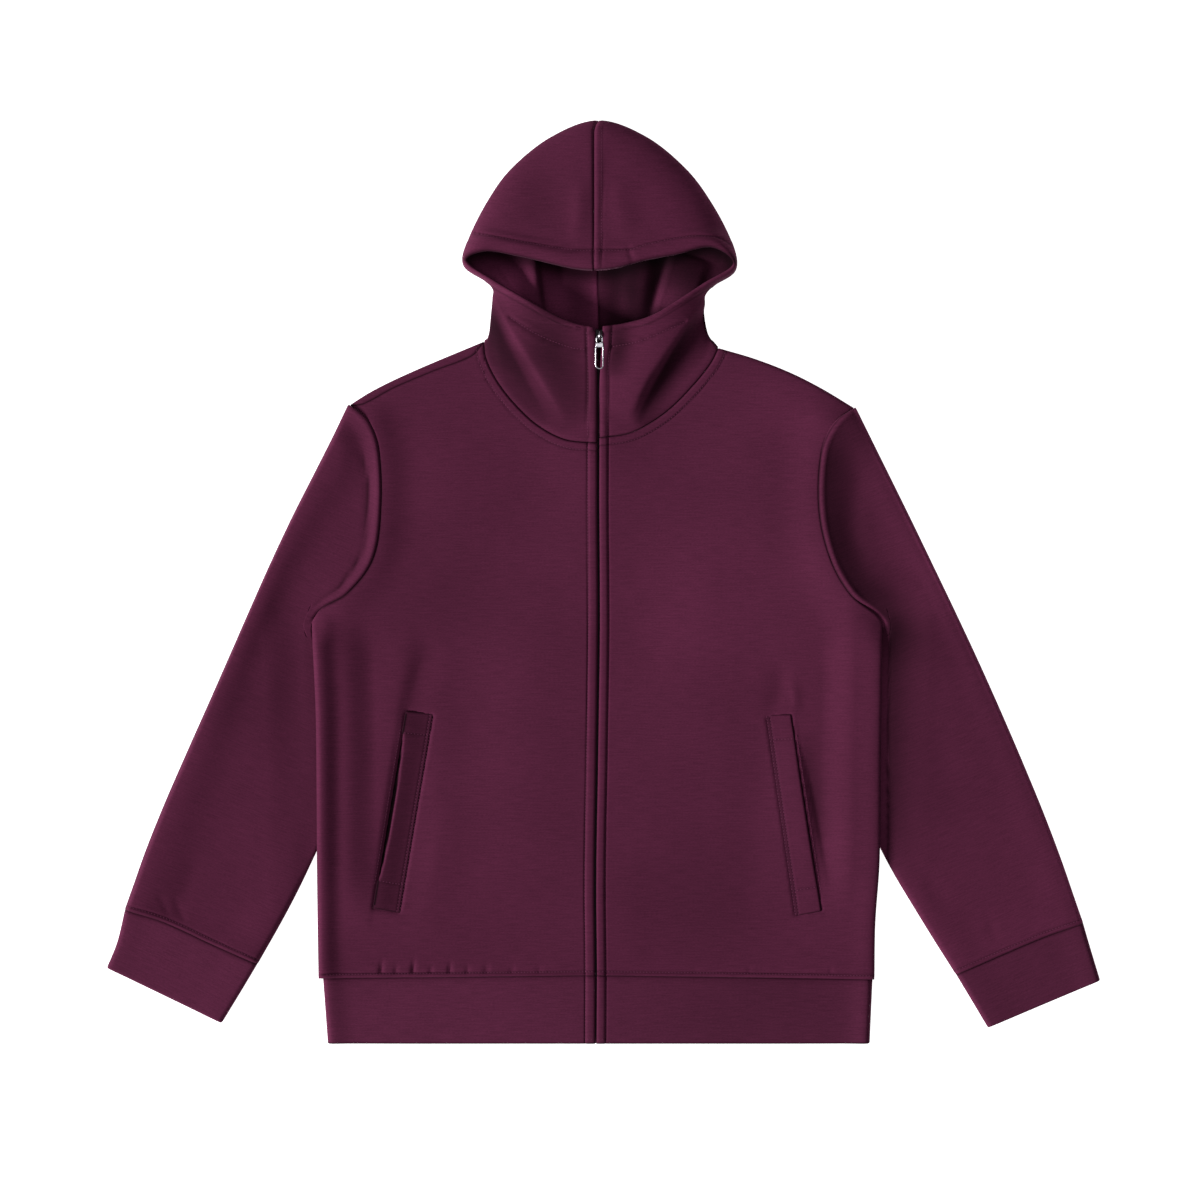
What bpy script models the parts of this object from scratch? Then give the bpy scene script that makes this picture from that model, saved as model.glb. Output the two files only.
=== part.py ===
"""Zip up hoodie, laid flat on its back with the hood raised on its own stiff cloth.

Millimetres in the tables: "across" runs out from the zip line and "up" from the hem edge, both on
the laid garment. Right and left are the wearer's, so the right half lies at negative X.
Heights are those of the middle of a cloth wall above the surface that the garment lies on.
"""
import math
from collections import namedtuple

import bmesh
import bpy
import numpy as np
from mathutils import Vector
from mathutils.bvhtree import BVHTree

MM = 0.001
SIDES = {"right": -1.0, "left": 1.0}

# Cloth and clearances
WALL = 1.8                # air-layer knit
DOUBLE_WALL = 2.4         # the same cloth folded, in the hem band and the cuffs
TAPE_WALL = 0.8
SEAM = 0.3                # clearance where two pieces meet
PLAN_SEAM = 0.5           # the same, between edges that meet side by side

# The whole laid garment
HEM_TOP = 66.0
PANEL_BOTTOM = 66.6
CROWN = 922.3
CUFF_REACH = {"right": 490.5, "left": 500.4}
CENTRE_ACROSS = (CUFF_REACH["left"] - CUFF_REACH["right"]) / 2
CENTRE_UP = CROWN / 2

# Heights
FLOOR_Z = WALL / 2
EDGE_Z = FLOOR_Z + WALL + 2 * SEAM        # front layer where it meets the back at a folded edge
FRONT_Z = 4.9                             # front layer away from its edges, clear of the zip tapes
EDGE_RUN = 34.0                           # how far in from an edge the front layer rounds up
NECK_RISE = 2.1                           # more at the front of the neck, where the collar stands up
NECK_UP, NECK_FLAT, NECK_RUN = 606.0, 4.0, 90.0
SLEEVE_Z = FLOOR_Z + WALL + 1.2           # upper layer of a sleeve where it is pressed flat
SLEEVE_PUFF = 2.1
PUFF_START, PUFF_RUN = 12.0, 32.0         # out from the body's side
TUCK_LIFT = SLEEVE_Z + WALL / 2 + SEAM    # the body's sides lie on the sleeves' inner edges
TUCK_FULL, TUCK_END = 26.0, 60.0          # how far in from the side that lift holds, and ends
TUCK_ROWS = (112.0, 180.0, 384.0, 440.0)  # up: lift starts, is full, is full, ends

# Zip
ZIP_GAP = 1.2                             # from the zip line to each turned front edge
ZIP_TOP_GAP = {"right": 3.4, "left": 4.2}  # the same at the collar's top, where the slider stands out
TAPE_INNER, TAPE_OUTER = 1.7, 13.0
TAPE_LOW, TAPE_HIGH = 5.0, 694.0
TAPE_Z = 3.3
TAPE_NECK_DROP, TAPE_NECK_ROWS = 0.5, (560.0, 600.0)  # lower under the neck seam

# How finely the pieces are divided
WELT_ROWS, TAPE_ROWS = 18, 36
SIDE_ROWS, ARMHOLE_ROWS = 9, 10           # of the front and back, below and above the underarm
NECK_COLUMNS, BACK_NECK_COLUMNS = 8, 4    # of the front and half the back, inside the neck point
SHOULDER_STEPS = (0.0, 0.2, 0.42, 0.64, 0.82, 0.93, 1.0)
BACK_SHOULDER_STEPS = (0.0, 0.3, 0.6, 0.78, 0.88, 0.95, 1.0)
UNDERARM_SHARE, NECK_SHARE, BACK_NECK_SHARE = 0.62, 0.46, 0.25
SLEEVE_ROWS = (0.0, 0.02, 0.07, 0.14, 0.22, 0.31, 0.4, 0.5, 0.6, 0.7, 0.8, 0.89, 0.96, 1.0)
FOLD_STEPS = (0.9, 3.2)                   # closer columns where a tube turns over at its folds
FLOOR_COLUMNS, LID_COLUMNS = 9, 12        # of half the hood, on the surface and above it
TURN_STEPS = 7                            # round each end of the pull's loops

Side = namedtuple("Side", "up right left")
SIDE_SEAM = (
    Side(PANEL_BOTTOM, 279.5, 275.5),
    Side(121.0, 280.5, 276.5),
    Side(185.0, 280.8, 280.5),
    Side(293.0, 281.5, 281.5),
    Side(343.0, 282.5, 282.2),
    Side(421.0, 286.5, 283.5),
)

Edge = namedtuple("Edge", "right_across right_up left_across left_up")
ARMHOLE = (
    Edge(286.5, 421.0, 283.5, 421.0),
    Edge(276.5, 434.5, 275.0, 430.0),
    Edge(250.0, 450.0, 252.0, 448.5),
    Edge(225.0, 483.5, 232.0, 483.5),
    Edge(217.0, 534.0, 220.5, 534.0),
    Edge(219.0, 593.0, 223.5, 593.0),
    Edge(230.0, 622.0, 237.0, 620.0),
    Edge(248.0, 638.0, 255.0, 635.0),
)
SHOULDER = (
    Edge(115.0, 701.0, 120.5, 694.5),
    Edge(172.5, 677.0, 156.0, 684.0),
    Edge(208.0, 661.0, 192.0, 670.0),
    Edge(230.0, 649.5, 223.5, 654.0),
    Edge(248.0, 638.0, 255.0, 635.0),
)
NECK_SEAM = (
    Edge(1.2, 599.5, 1.2, 604.8),
    Edge(32.5, 603.0, 29.5, 609.0),
    Edge(60.0, 617.0, 48.0, 617.0),
    Edge(83.0, 638.0, 71.0, 633.0),
    Edge(101.0, 661.0, 94.0, 656.0),
    Edge(112.5, 684.0, 112.5, 679.0),
    Edge(115.0, 701.0, 120.5, 694.5),
)
BACK_NECK_UP = 682.5
BACK_NECK_HALFWAY = (62.0, 687.0)

# Sleeve edges, from the armhole down to the cuff seam
SLEEVE_OUTER = (
    Edge(249.5, 638.6, 256.5, 635.6),
    Edge(267.5, 601.0, 273.5, 601.0),
    Edge(315.5, 505.0, 320.5, 505.0),
    Edge(379.5, 361.0, 388.5, 361.0),
    Edge(442.5, 217.0, 449.5, 217.0),
    Edge(472.5, 137.0, 484.5, 121.5),
)
SLEEVE_INNER = (
    Edge(288.6, 420.5, 285.6, 420.5),
    Edge(287.2, 400.0, 284.6, 400.0),
    Edge(284.0, 379.0, 282.6, 379.0),
    Edge(270.0, 345.0, 270.0, 345.0),
    Edge(263.0, 300.0, 263.0, 300.0),
    Edge(267.0, 235.0, 267.0, 235.0),
    Edge(286.5, 183.0, 288.4, 183.0),
    Edge(310.5, 134.0, 332.0, 109.5),
    Edge(339.5, 84.0, 355.5, 72.0),
)
CUFF_SEAM = (
    Edge(472.5, 133.6, 483.6, 119.8),
    Edge(439.6, 123.6, 449.5, 108.0),
    Edge(412.0, 111.5, 414.5, 93.5),
    Edge(388.0, 100.0, 381.0, 79.0),
    Edge(341.5, 79.6, 358.0, 69.0),
)
CUFF_OUTER = (
    Edge(470.6, 132.4, 482.3, 118.8),
    Edge(480.0, 100.0, 490.5, 94.0),
    Edge(490.5, 75.4, 500.4, 62.8),
)
CUFF_INNER = (
    Edge(342.5, 79.4, 359.8, 68.2),
    Edge(355.0, 58.5, 371.0, 49.0),
    Edge(377.3, 20.8, 389.9, 16.2),
)

# Hem band: how far out its sides lie at the seam and at the bottom edge, and its columns
HEM_SIDE = {"right": (275.5, 270.5), "left": (274.0, 271.0)}
HEM_COLUMNS, HEM_TURN, HEM_UNDER = (ZIP_GAP, 50.0, 120.0, 190.0, 235.0), 12.0, 140.0
CUFF_PUFF, CUFF_PUFF_RUN = 0.5, 26.0

# Hood sections, from the neck seam to the seam over the crown. Each runs from the centre back, out
# over the surface to the side, then turns up and in to the zip or face edge. "forward" is how far
# the turn at the side leans toward the front.
Section = namedtuple("Section", "back_up side_across side_up side_z edge_across edge_up edge_z forward")
HOOD = {
    "right": (
        Section(705.0, 109.0, 713.0, 6.0, 1.2, 655.0, 15.0, 26.0),
        Section(735.0, 106.5, 736.0, 9.0, ZIP_TOP_GAP["right"], 714.0, 22.5, 12.0),
        Section(760.0, 105.5, 753.0, 10.0, 53.0, 731.0, 24.0, 3.0),
        Section(785.0, 113.5, 762.0, 10.5, 101.5, 759.0, 25.0, 0.0),
        Section(812.0, 134.5, 777.0, 12.0, 131.0, 780.0, 23.0, 0.0),
        Section(840.0, 130.5, 801.0, 9.5, 112.5, 790.0, 27.0, 0.0),
        Section(866.0, 112.0, 839.0, 8.0, 80.0, 785.0, 28.5, 0.0),
        Section(888.0, 87.5, 873.0, 7.0, 52.0, 778.5, 29.0, 0.0),
        Section(906.0, 47.5, 905.0, 6.0, 22.0, 772.3, 29.5, 0.0),
        Section(918.0, 1.2, CROWN - 1.0, 5.0, 0.3, 770.5, 30.0, 0.0),
    ),
    "left": (
        Section(705.0, 107.5, 711.0, 6.0, 1.2, 658.0, 15.0, 26.0),
        Section(735.0, 105.5, 728.0, 9.0, ZIP_TOP_GAP["left"], 715.0, 22.5, 12.0),
        Section(760.0, 107.0, 748.0, 10.0, 60.0, 731.0, 24.0, 3.0),
        Section(785.0, 116.5, 758.0, 10.5, 104.0, 757.0, 25.0, 0.0),
        Section(812.0, 137.0, 773.0, 12.0, 134.5, 777.5, 23.0, 0.0),
        Section(840.0, 132.5, 801.0, 9.5, 112.5, 794.0, 27.0, 0.0),
        Section(866.0, 113.0, 839.0, 8.0, 78.0, 786.5, 28.5, 0.0),
        Section(888.0, 87.5, 873.0, 7.0, 48.0, 780.5, 29.0, 0.0),
        Section(906.0, 48.0, 905.0, 6.0, 22.0, 772.8, 29.5, 0.0),
        Section(918.0, 1.2, CROWN - 1.0, 5.0, 0.3, 770.5, 30.0, 0.0),
    ),
}
# A section's bends, as shares of its way across the surface, up at the side and in to its edge;
# the funnel's lowest sections come in level instead
FLOOR_PULL, TURN_PULL, EDGE_PULL = 0.6, 0.45, 0.45
FUNNEL_TOP, FUNNEL_PULL, FUNNEL_LEAN = 720.0, 0.4, (4.0, -0.5)
CENTRE_SEAM = SEAM / 2

# Folds that stand up behind the neck, inside the hood
Pleat = namedtuple("Pleat", "across_low across_high up_low up_high height width")
PLEATS = {
    "right": (Pleat(54.0, 66.0, 725.0, 800.0, 12.0, 11.0), Pleat(84.0, 104.0, 735.0, 790.0, 6.0, 9.0)),
    "left": (Pleat(50.0, 78.0, 722.0, 800.0, 11.0, 12.0),),
}

# Diagonal folds of the funnel collar: outside each line the cloth drops into a hollow
Crease = namedtuple("Crease", "high_across high_up low_across low_up depth")
COLLAR_CREASES = {
    "right": Crease(101.0, 742.0, 40.0, 636.0, 4.0),
    "left": Crease(100.0, 737.0, 42.0, 648.0, 5.0),
}
CREASE_OFFSET, CREASE_WIDTH = 13.0, 12.0  # of the hollow's middle from the fold, and of the hollow

# Pocket welts, by their corners
WELT_CORNERS = {
    "right": ((192.0, 331.5), (165.6, 329.0), (224.5, 136.0), (198.8, 131.0)),
    "left": ((192.0, 328.5), (168.5, 328.0), (222.3, 133.0), (197.5, 128.0)),
}

# Zip slider and pull. Places along the pull run down from its hinge, under the slider's bail.
PULL_ACROSS = 0.6
PULL_HINGE_UP, PULL_HINGE_Z = 706.2, 23.9
PULL_TILT = math.radians(7.5)             # the collar's slope at the zip
EYE_WIDTH, EYE_END, EYE_WIRE = 7.0, 8.4, 1.1          # it ends inside the bridge
BRIDGE_WIDTH, BRIDGE_START, BRIDGE_END, BRIDGE_THICK = 7.4, 6.4, 11.6, 1.5
BRIDGE_EDGE = 0.3
LOOP_WIDTH, LOOP_START, LOOP_END, LOOP_WIRE = 9.0, 10.6, 34.0, 1.8
SLIDER_SIZE, SLIDER_EDGE = (8.0, 12.0, 3.0), 0.7
SLIDER_UP, SLIDER_Z = 706.4, 18.1
BAIL_WIRE, BAIL_REACH, BAIL_TOP, BAIL_CORNER = 1.8, 4.5, 2.0, 1.8

COLOURS = {                               # linear base colour, roughness, metallic
    "body_cloth": ((0.066, 0.014, 0.035), 0.85, 0.0),
    "band_cloth": ((0.070, 0.016, 0.038), 0.85, 0.0),
    "tape": ((0.040, 0.010, 0.022), 0.9, 0.0),
    "metal": ((0.62, 0.60, 0.60), 0.22, 1.0),
}


def new_collection(name):
    collection = bpy.data.collections.new(name)
    bpy.context.scene.collection.children.link(collection)
    return collection


def new_material(name):
    colour, roughness, metallic = COLOURS[name]
    material = bpy.data.materials.new(name)
    material.use_nodes = True
    shader = material.node_tree.nodes["Principled BSDF"]
    shader.inputs["Base Color"].default_value = (*colour, 1.0)
    shader.inputs["Roughness"].default_value = roughness
    shader.inputs["Metallic"].default_value = metallic
    return material


# Curves in plan ------------------------------------------------------------------------------

def smooth_path(points, steps=10):
    """Points close together on a smooth curve through the given ones."""
    knots = [np.array(point, float) for point in points]
    knots = [2 * knots[0] - knots[1]] + knots + [2 * knots[-1] - knots[-2]]
    dense = []
    for a, b, c, d in zip(knots, knots[1:], knots[2:], knots[3:]):
        reach = math.dist(b, c)
        leave = (c - a) * reach / (math.dist(a, b) + reach)
        arrive = (d - b) * reach / (math.dist(c, d) + reach)
        dense += [hermite(b, c, leave, arrive, step / steps) for step in range(steps)]
    return np.array(dense + [knots[-2]])


def hermite(start, end, leave, arrive, t):
    return ((2 * t**3 - 3 * t**2 + 1) * start + (t**3 - 2 * t**2 + t) * leave
            + (3 * t**2 - 2 * t**3) * end + (t**3 - t**2) * arrive)


def sampled(path, fractions):
    """Points at the given fractions of a path's length."""
    lengths = np.concatenate(([0.0], np.cumsum(np.linalg.norm(np.diff(path, axis=0), axis=1))))
    places = np.array(fractions) * lengths[-1]
    return np.stack([np.interp(places, lengths, path[:, axis]) for axis in range(path.shape[1])], axis=1)


def moved_aside(path, distance):
    """A path moved to its left in plan, square to its own run."""
    run = np.gradient(path, axis=0)
    normal = np.stack((-run[:, 1], run[:, 0]), axis=1)
    return path + distance * normal / np.linalg.norm(normal, axis=1)[:, None]


def patch(bottom, top, start, end, us, vs, hold=1):
    """A grid in plan between four rows of points that meet at its corners.

    Lines run straight from bottom to top but for the bend of the start and end rows, which fades
    with distance from them, and faster the larger hold is.
    """
    us, vs = np.array(us)[None, :, None], np.array(vs)[:, None, None]
    ruled = (1 - vs) * bottom[None] + vs * top[None]
    start_bend, end_bend = start[:, None] - ruled[:, :1], end[:, None] - ruled[:, -1:]
    return ruled + (1 - us) ** hold * start_bend + us ** hold * end_bend


def settled(grid, rounds=400):
    """Inner points moved until the grid's lines run evenly and none cross, its edges kept."""
    for _ in range(rounds):
        across = (grid[1:-1, 2:] - grid[1:-1, :-2]) / 2
        down = (grid[2:, 1:-1] - grid[:-2, 1:-1]) / 2
        alpha = (down ** 2).sum(axis=2, keepdims=True)
        gamma = (across ** 2).sum(axis=2, keepdims=True)
        beta = (across * down).sum(axis=2, keepdims=True)
        twist = (grid[2:, 2:] - grid[2:, :-2] - grid[:-2, 2:] + grid[:-2, :-2]) / 4
        middle = (alpha * (grid[1:-1, 2:] + grid[1:-1, :-2]) + gamma * (grid[2:, 1:-1] + grid[:-2, 1:-1])
                  - 2 * beta * twist) / (2 * (alpha + gamma))
        grid[1:-1, 1:-1] += 0.7 * (middle - grid[1:-1, 1:-1])
    return grid


def outline(rows, side):
    """One half's edge from a table with columns for both halves, signed across."""
    sign = SIDES[side]
    if side == "right":
        return smooth_path([(sign * row.right_across, row.right_up) for row in rows])
    return smooth_path([(sign * row.left_across, row.left_up) for row in rows])


def side_line(side):
    return smooth_path([(SIDES[side] * getattr(row, side), row.up) for row in SIDE_SEAM])


def distance_to(path, point):
    """Least distance in plan from a point to a path."""
    starts, spans = path[:-1], np.diff(path, axis=0)
    share = np.einsum("ij,ij->i", point - starts, spans) / np.einsum("ij,ij->i", spans, spans)
    nearest = starts + spans * np.clip(share, 0, 1)[:, None]
    return float(np.min(np.linalg.norm(point - nearest, axis=1)))


def ramp(value, low, high):
    """0 at low, 1 at high, smooth between, in either order."""
    t = min(max((value - low) / (high - low), 0.0), 1.0)
    return t * t * (3 - 2 * t)


def rounding(distance, run):
    """0 at an edge, 1 at a distance of run, rounded like a folded edge."""
    t = min(max(distance / run, 0.0), 1.0)
    return math.sqrt(1 - (1 - t) ** 2)


def evenly(count):
    return [i / count for i in range(count + 1)]


# Seam points that the pieces on both sides of a seam share, and the rows of the front and back
BODY_ROWS = [UNDERARM_SHARE * i for i in evenly(SIDE_ROWS)]
BODY_ROWS += [UNDERARM_SHARE + (1 - UNDERARM_SHARE) * i for i in evenly(ARMHOLE_ROWS)[1:]]
SIDE_LINES = {side: side_line(side) for side in SIDES}
SIDE_NODES = {side: sampled(SIDE_LINES[side], evenly(SIDE_ROWS)) for side in SIDES}
ARMHOLE_NODES = {side: sampled(outline(ARMHOLE, side), evenly(ARMHOLE_ROWS)) for side in SIDES}
SHOULDER_LINES = {side: outline(SHOULDER, side) for side in SIDES}
NECK_NODES = {side: sampled(outline(NECK_SEAM, side), evenly(NECK_COLUMNS)) for side in SIDES}
BACK_NECK_NODES = {
    side: sampled(smooth_path(((0.0, BACK_NECK_UP),
                               (SIDES[side] * BACK_NECK_HALFWAY[0], BACK_NECK_HALFWAY[1]),
                               NECK_NODES[side][-1])), evenly(BACK_NECK_COLUMNS))
    for side in SIDES
}


# Heights -------------------------------------------------------------------------------------

def side_across(side, up):
    line = SIDE_LINES[side]
    return abs(float(np.interp(up, line[:, 1], line[:, 0])))


def tuck_lift(point):
    """How far the body is lifted where its side lies on a sleeve."""
    side = "left" if point[0] > 0 else "right"
    inward = side_across(side, point[1]) - abs(point[0])
    low_start, low_full, high_full, high_end = TUCK_ROWS
    rows = ramp(point[1], low_start, low_full) * ramp(point[1], high_end, high_full)
    return TUCK_LIFT * rows * ramp(inward, TUCK_END, TUCK_FULL)


def back_height(point):
    return FLOOR_Z + tuck_lift(point)


def front_height(point):
    side = "left" if point[0] > 0 else "right"
    edge = min(distance_to(SIDE_LINES[side], point), distance_to(SHOULDER_LINES[side], point))
    neck = math.dist(point, (0.0, NECK_UP))
    return (EDGE_Z + (FRONT_Z - EDGE_Z) * rounding(edge, EDGE_RUN)
            + NECK_RISE * ramp(neck, NECK_RUN, NECK_FLAT) + tuck_lift(point))


def sleeve_height(side, point, edge):
    """Upper layer of a sleeve, from its distance in from its own folded edges."""
    underarm = SIDE_LINES[side][-1]
    inside = abs(point[0]) < side_across(side, point[1]) and point[1] < underarm[1]
    clear = 0.0 if inside else distance_to(SIDE_LINES[side], point)
    puff = rounding(edge, PUFF_RUN) * rounding(clear - PUFF_START, PUFF_RUN)
    return folded_height(edge) + SLEEVE_PUFF * puff


def folded_height(edge):
    fold = (FLOOR_Z + SLEEVE_Z) / 2
    return fold + (SLEEVE_Z - fold) * rounding(edge, FOLD_STEPS[1])


# Meshes --------------------------------------------------------------------------------------

def add_object(name, mesh, material, collection, parent):
    mesh.materials.append(material)
    mesh.shade_smooth()
    mesh.set_sharp_from_angle(angle=math.radians(40))
    piece = bpy.data.objects.new(name, mesh)
    collection.objects.link(piece)
    piece.parent = parent
    return piece


def sheet_mesh(name, rows):
    """A grid with one point for each place in the rows; a row that closes on itself is a ring."""
    bm = bmesh.new()
    grid = bmesh.ops.create_grid(bm, x_segments=len(rows[0]) - 1, y_segments=len(rows) - 1, size=1.0)
    places = [place for row in rows for place in row]
    for vertex, place in zip(grid["verts"], places):
        vertex.co = Vector(place) * MM
    bmesh.ops.remove_doubles(bm, verts=bm.verts, dist=0.01 * MM)
    mesh = bpy.data.meshes.new(name)
    bm.to_mesh(mesh)
    bm.free()
    return mesh


def add_sheet(name, rows, wall, material, collection, parent):
    """A cloth piece: its middle surface, given a wall."""
    piece = add_object(name, sheet_mesh(name, rows), material, collection, parent)
    solidify = piece.modifiers.new("wall", "SOLIDIFY")
    solidify.thickness = wall * MM
    solidify.offset = 0.0
    return piece


def raised(grid, height):
    """Plan points with the heights that they lie at."""
    return [[(*point, height(point)) for point in row] for row in grid]


# Body ----------------------------------------------------------------------------------------

def straight(start, end, fractions):
    fractions = np.array(fractions)[:, None]
    return np.array(start) * (1 - fractions) + np.array(end) * fractions


def front_rows(side):
    """Hem to shoulder, and zip to side seam and armhole."""
    neck, shoulder = NECK_NODES[side], sampled(SHOULDER_LINES[side], SHOULDER_STEPS)
    top = np.vstack((neck, shoulder[1:]))
    end = np.vstack((SIDE_NODES[side], ARMHOLE_NODES[side][1:]))
    us = [NECK_SHARE * i for i in evenly(NECK_COLUMNS)]
    us += [NECK_SHARE + (1 - NECK_SHARE) * i for i in SHOULDER_STEPS[1:]]
    zip_corner = np.array((top[0][0], PANEL_BOTTOM))
    bottom = straight(zip_corner, end[0], us)
    start = straight(zip_corner, top[0], BODY_ROWS)
    return raised(patch(bottom, top, start, end, us, BODY_ROWS, hold=3), front_height)


def make_back(material, collection, parent):
    """Side to side, and hem to shoulders and neck."""
    half = [BACK_NECK_SHARE * i for i in evenly(BACK_NECK_COLUMNS)]
    half += [BACK_NECK_SHARE + (0.5 - BACK_NECK_SHARE) * i for i in BACK_SHOULDER_STEPS[1:]]
    us = [0.5 - share for share in half[::-1]] + [0.5 + share for share in half[1:]]
    tops = [np.vstack((BACK_NECK_NODES[side], sampled(SHOULDER_LINES[side], BACK_SHOULDER_STEPS)[1:]))
            for side in SIDES]
    top = np.vstack((tops[0][::-1], tops[1][1:]))
    start, end = (np.vstack((SIDE_NODES[side], ARMHOLE_NODES[side][1:])) for side in SIDES)
    bottom = straight(start[0], end[0], us)
    rows = raised(patch(bottom, top, start, end, us, BODY_ROWS, hold=3), back_height)
    return add_sheet("back", rows, WALL, material, collection, parent)


def tube_rows(grid, upper, lower_z):
    """Rings of a flattened tube: the upper layer from its outer to its inner fold, the lower one back."""
    outer, inner = grid[:, 0], grid[:, -1]
    rows = []
    for line in grid:
        near = [line[0] + (line[1] - line[0]) * step / math.dist(line[0], line[1]) for step in FOLD_STEPS]
        far = [line[-1] + (line[-2] - line[-1]) * step / math.dist(line[-1], line[-2]) for step in FOLD_STEPS]
        ring = []
        for point in [line[0], *near, *line[1:-1], *far[::-1], line[-1]]:
            edge = min(distance_to(outer, point), distance_to(inner, point))
            ring.append((*point, upper(point, edge)))
        for point in [far[0], *line[1:-1][::-1], near[0]]:
            ring.append((*point, lower_z))
        rows.append(ring + [ring[0]])
    return rows


def inset_folds(grid, distance):
    """Folded edges moved in, so that a wall round them ends on the outline."""
    run = grid[:, -1] - grid[:, 0]
    step = distance * run / np.linalg.norm(run, axis=1)[:, None]
    grid[:, 0] += step
    grid[:, -1] -= step
    return grid


def make_sleeve(side, material, collection, parent):
    outer, inner, seam = (outline(rows, side) for rows in (SLEEVE_OUTER, SLEEVE_INNER, CUFF_SEAM))
    head = moved_aside(ARMHOLE_NODES[side], -SIDES[side] * PLAN_SEAM)[::-1]
    outer, inner = sampled(outer, SLEEVE_ROWS), sampled(inner, SLEEVE_ROWS)
    seam = sampled(moved_aside(seam, SIDES[side] * -SEAM), evenly(ARMHOLE_ROWS))
    head[0], head[-1], seam[0], seam[-1] = outer[0], inner[0], outer[-1], inner[-1]
    grid = settled(patch(head, seam, outer, inner, evenly(ARMHOLE_ROWS), SLEEVE_ROWS))

    def upper(point, edge):
        return sleeve_height(side, point, edge)
    rows = tube_rows(inset_folds(grid, WALL / 2), upper, FLOOR_Z)
    return add_sheet(f"sleeve_{side}", rows, WALL, material, collection, parent)


def make_cuff(side, material, collection, parent):
    lengths, columns = evenly(4), evenly(6)
    outer, inner = (sampled(outline(rows, side), lengths) for rows in (CUFF_OUTER, CUFF_INNER))
    seam = sampled(moved_aside(outline(CUFF_SEAM, side), SIDES[side] * 2 * SEAM), columns)
    seam[0], seam[-1] = outer[0], inner[0]
    mouth = straight(outer[-1], inner[-1], columns)
    grid = inset_folds(patch(seam, mouth, outer, inner, columns, lengths), DOUBLE_WALL / 2)
    low = DOUBLE_WALL / 2
    high = low + DOUBLE_WALL + SEAM

    def upper(_, edge):
        fold = (low + high) / 2
        flat = fold + (high - fold) * rounding(edge, FOLD_STEPS[1])
        return flat + CUFF_PUFF * rounding(edge, CUFF_PUFF_RUN)
    return add_sheet(f"cuff_{side}", tube_rows(grid, upper, low), DOUBLE_WALL, material, collection, parent)


def make_hem_band(material, collection, parent):
    """One folded strip from zip edge to zip edge, round both sides and across the back."""
    low = DOUBLE_WALL / 2
    flat = low + DOUBLE_WALL + SEAM
    fold = DOUBLE_WALL * 0.3
    high = TAPE_Z + TAPE_WALL / 2 + SEAM + DOUBLE_WALL / 2
    rows = []
    for share in evenly(3):
        row = []
        for side, (at_seam, at_bottom) in HEM_SIDE.items():
            reach = at_seam + (at_bottom - at_seam) * share - DOUBLE_WALL / 2
            turn = [reach - step for step in (HEM_TURN, *FOLD_STEPS[::-1])]
            half = [(across, high) for across in HEM_COLUMNS]
            half += [(turn[0], flat + SEAM), (turn[1], flat), (turn[2], flat - fold)]
            half += [(reach, (low + flat) / 2), (turn[2], low + fold), (turn[1], low), (HEM_UNDER, low)]
            half = [(SIDES[side] * across, HEM_TOP * (1 - share), z) for across, z in half]
            row += half if side == "right" else [(0.0, HEM_TOP * (1 - share), low)] + half[::-1]
        rows.append(row)
    return add_sheet("hem_band", rows, DOUBLE_WALL, material, collection, parent)


# Hood ----------------------------------------------------------------------------------------

def bezier(points, count):
    a, b, c, d = (np.array(point, float) for point in points)
    ts = [i / count for i in range(count + 1)]
    return [(1 - t)**3 * a + 3 * (1 - t)**2 * t * b + 3 * (1 - t) * t**2 * c + t**3 * d for t in ts]


def hood_section(section, sign):
    side = np.array((section.side_across - WALL / 2, section.side_up, section.side_z))
    edge = np.array((section.edge_across, section.edge_up, section.edge_z))
    turn = np.array((0.0, -section.forward, TURN_PULL * (section.edge_z - section.side_z)))
    back = np.array((CENTRE_SEAM, section.back_up, FLOOR_Z))
    floor = bezier((back, back + (FLOOR_PULL * (section.side_across - CENTRE_SEAM), 0.0, 0.0),
                    (side[0], side[1] + section.forward / 3, FLOOR_Z), side), FLOOR_COLUMNS)
    span = edge - side
    flat_end = edge - EDGE_PULL * np.array((span[0], span[1], 0.0))
    if section.edge_up < FUNNEL_TOP:
        flat_end = edge + (FUNNEL_PULL * (section.side_across - section.edge_across), *FUNNEL_LEAN)
    lid = bezier((side, side + turn, flat_end, edge), LID_COLUMNS)
    return [(sign * x, y, max(z, FLOOR_Z)) for x, y, z in floor + lid[1:]]


def neck_section(side, inset):
    """The hood's neck edge: along the back's neck, then down the front's neck seam to the zip."""
    sign = SIDES[side]
    floor = sampled(moved_aside(BACK_NECK_NODES[side], sign * inset), evenly(FLOOR_COLUMNS))
    seam = sampled(moved_aside(NECK_NODES[side], sign * inset)[::-1], evenly(LID_COLUMNS))
    floor[0][0], seam[-1][0] = sign * CENTRE_SEAM, sign * ZIP_GAP
    seam[0] += (0.0, 2 * inset + SEAM)
    heights = [front_height(point) for point in seam]
    heights[0] = (heights[0] + FLOOR_Z) / 2
    points = [(*point, FLOOR_Z) for point in floor[:-1]]
    return points + [(*point, height) for point, height in zip(seam, heights)]


def pleat_height(side, point):
    across, up = abs(point[0]), point[1]
    rise = 0.0
    for pleat in PLEATS[side]:
        share = min(max((up - pleat.up_low) / (pleat.up_high - pleat.up_low), 0.0), 1.0)
        middle = pleat.across_low + (pleat.across_high - pleat.across_low) * share
        fade = math.sin(math.pi * share)
        rise += pleat.height * fade * math.exp(-(((across - middle) / pleat.width) ** 2))
    return rise


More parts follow.
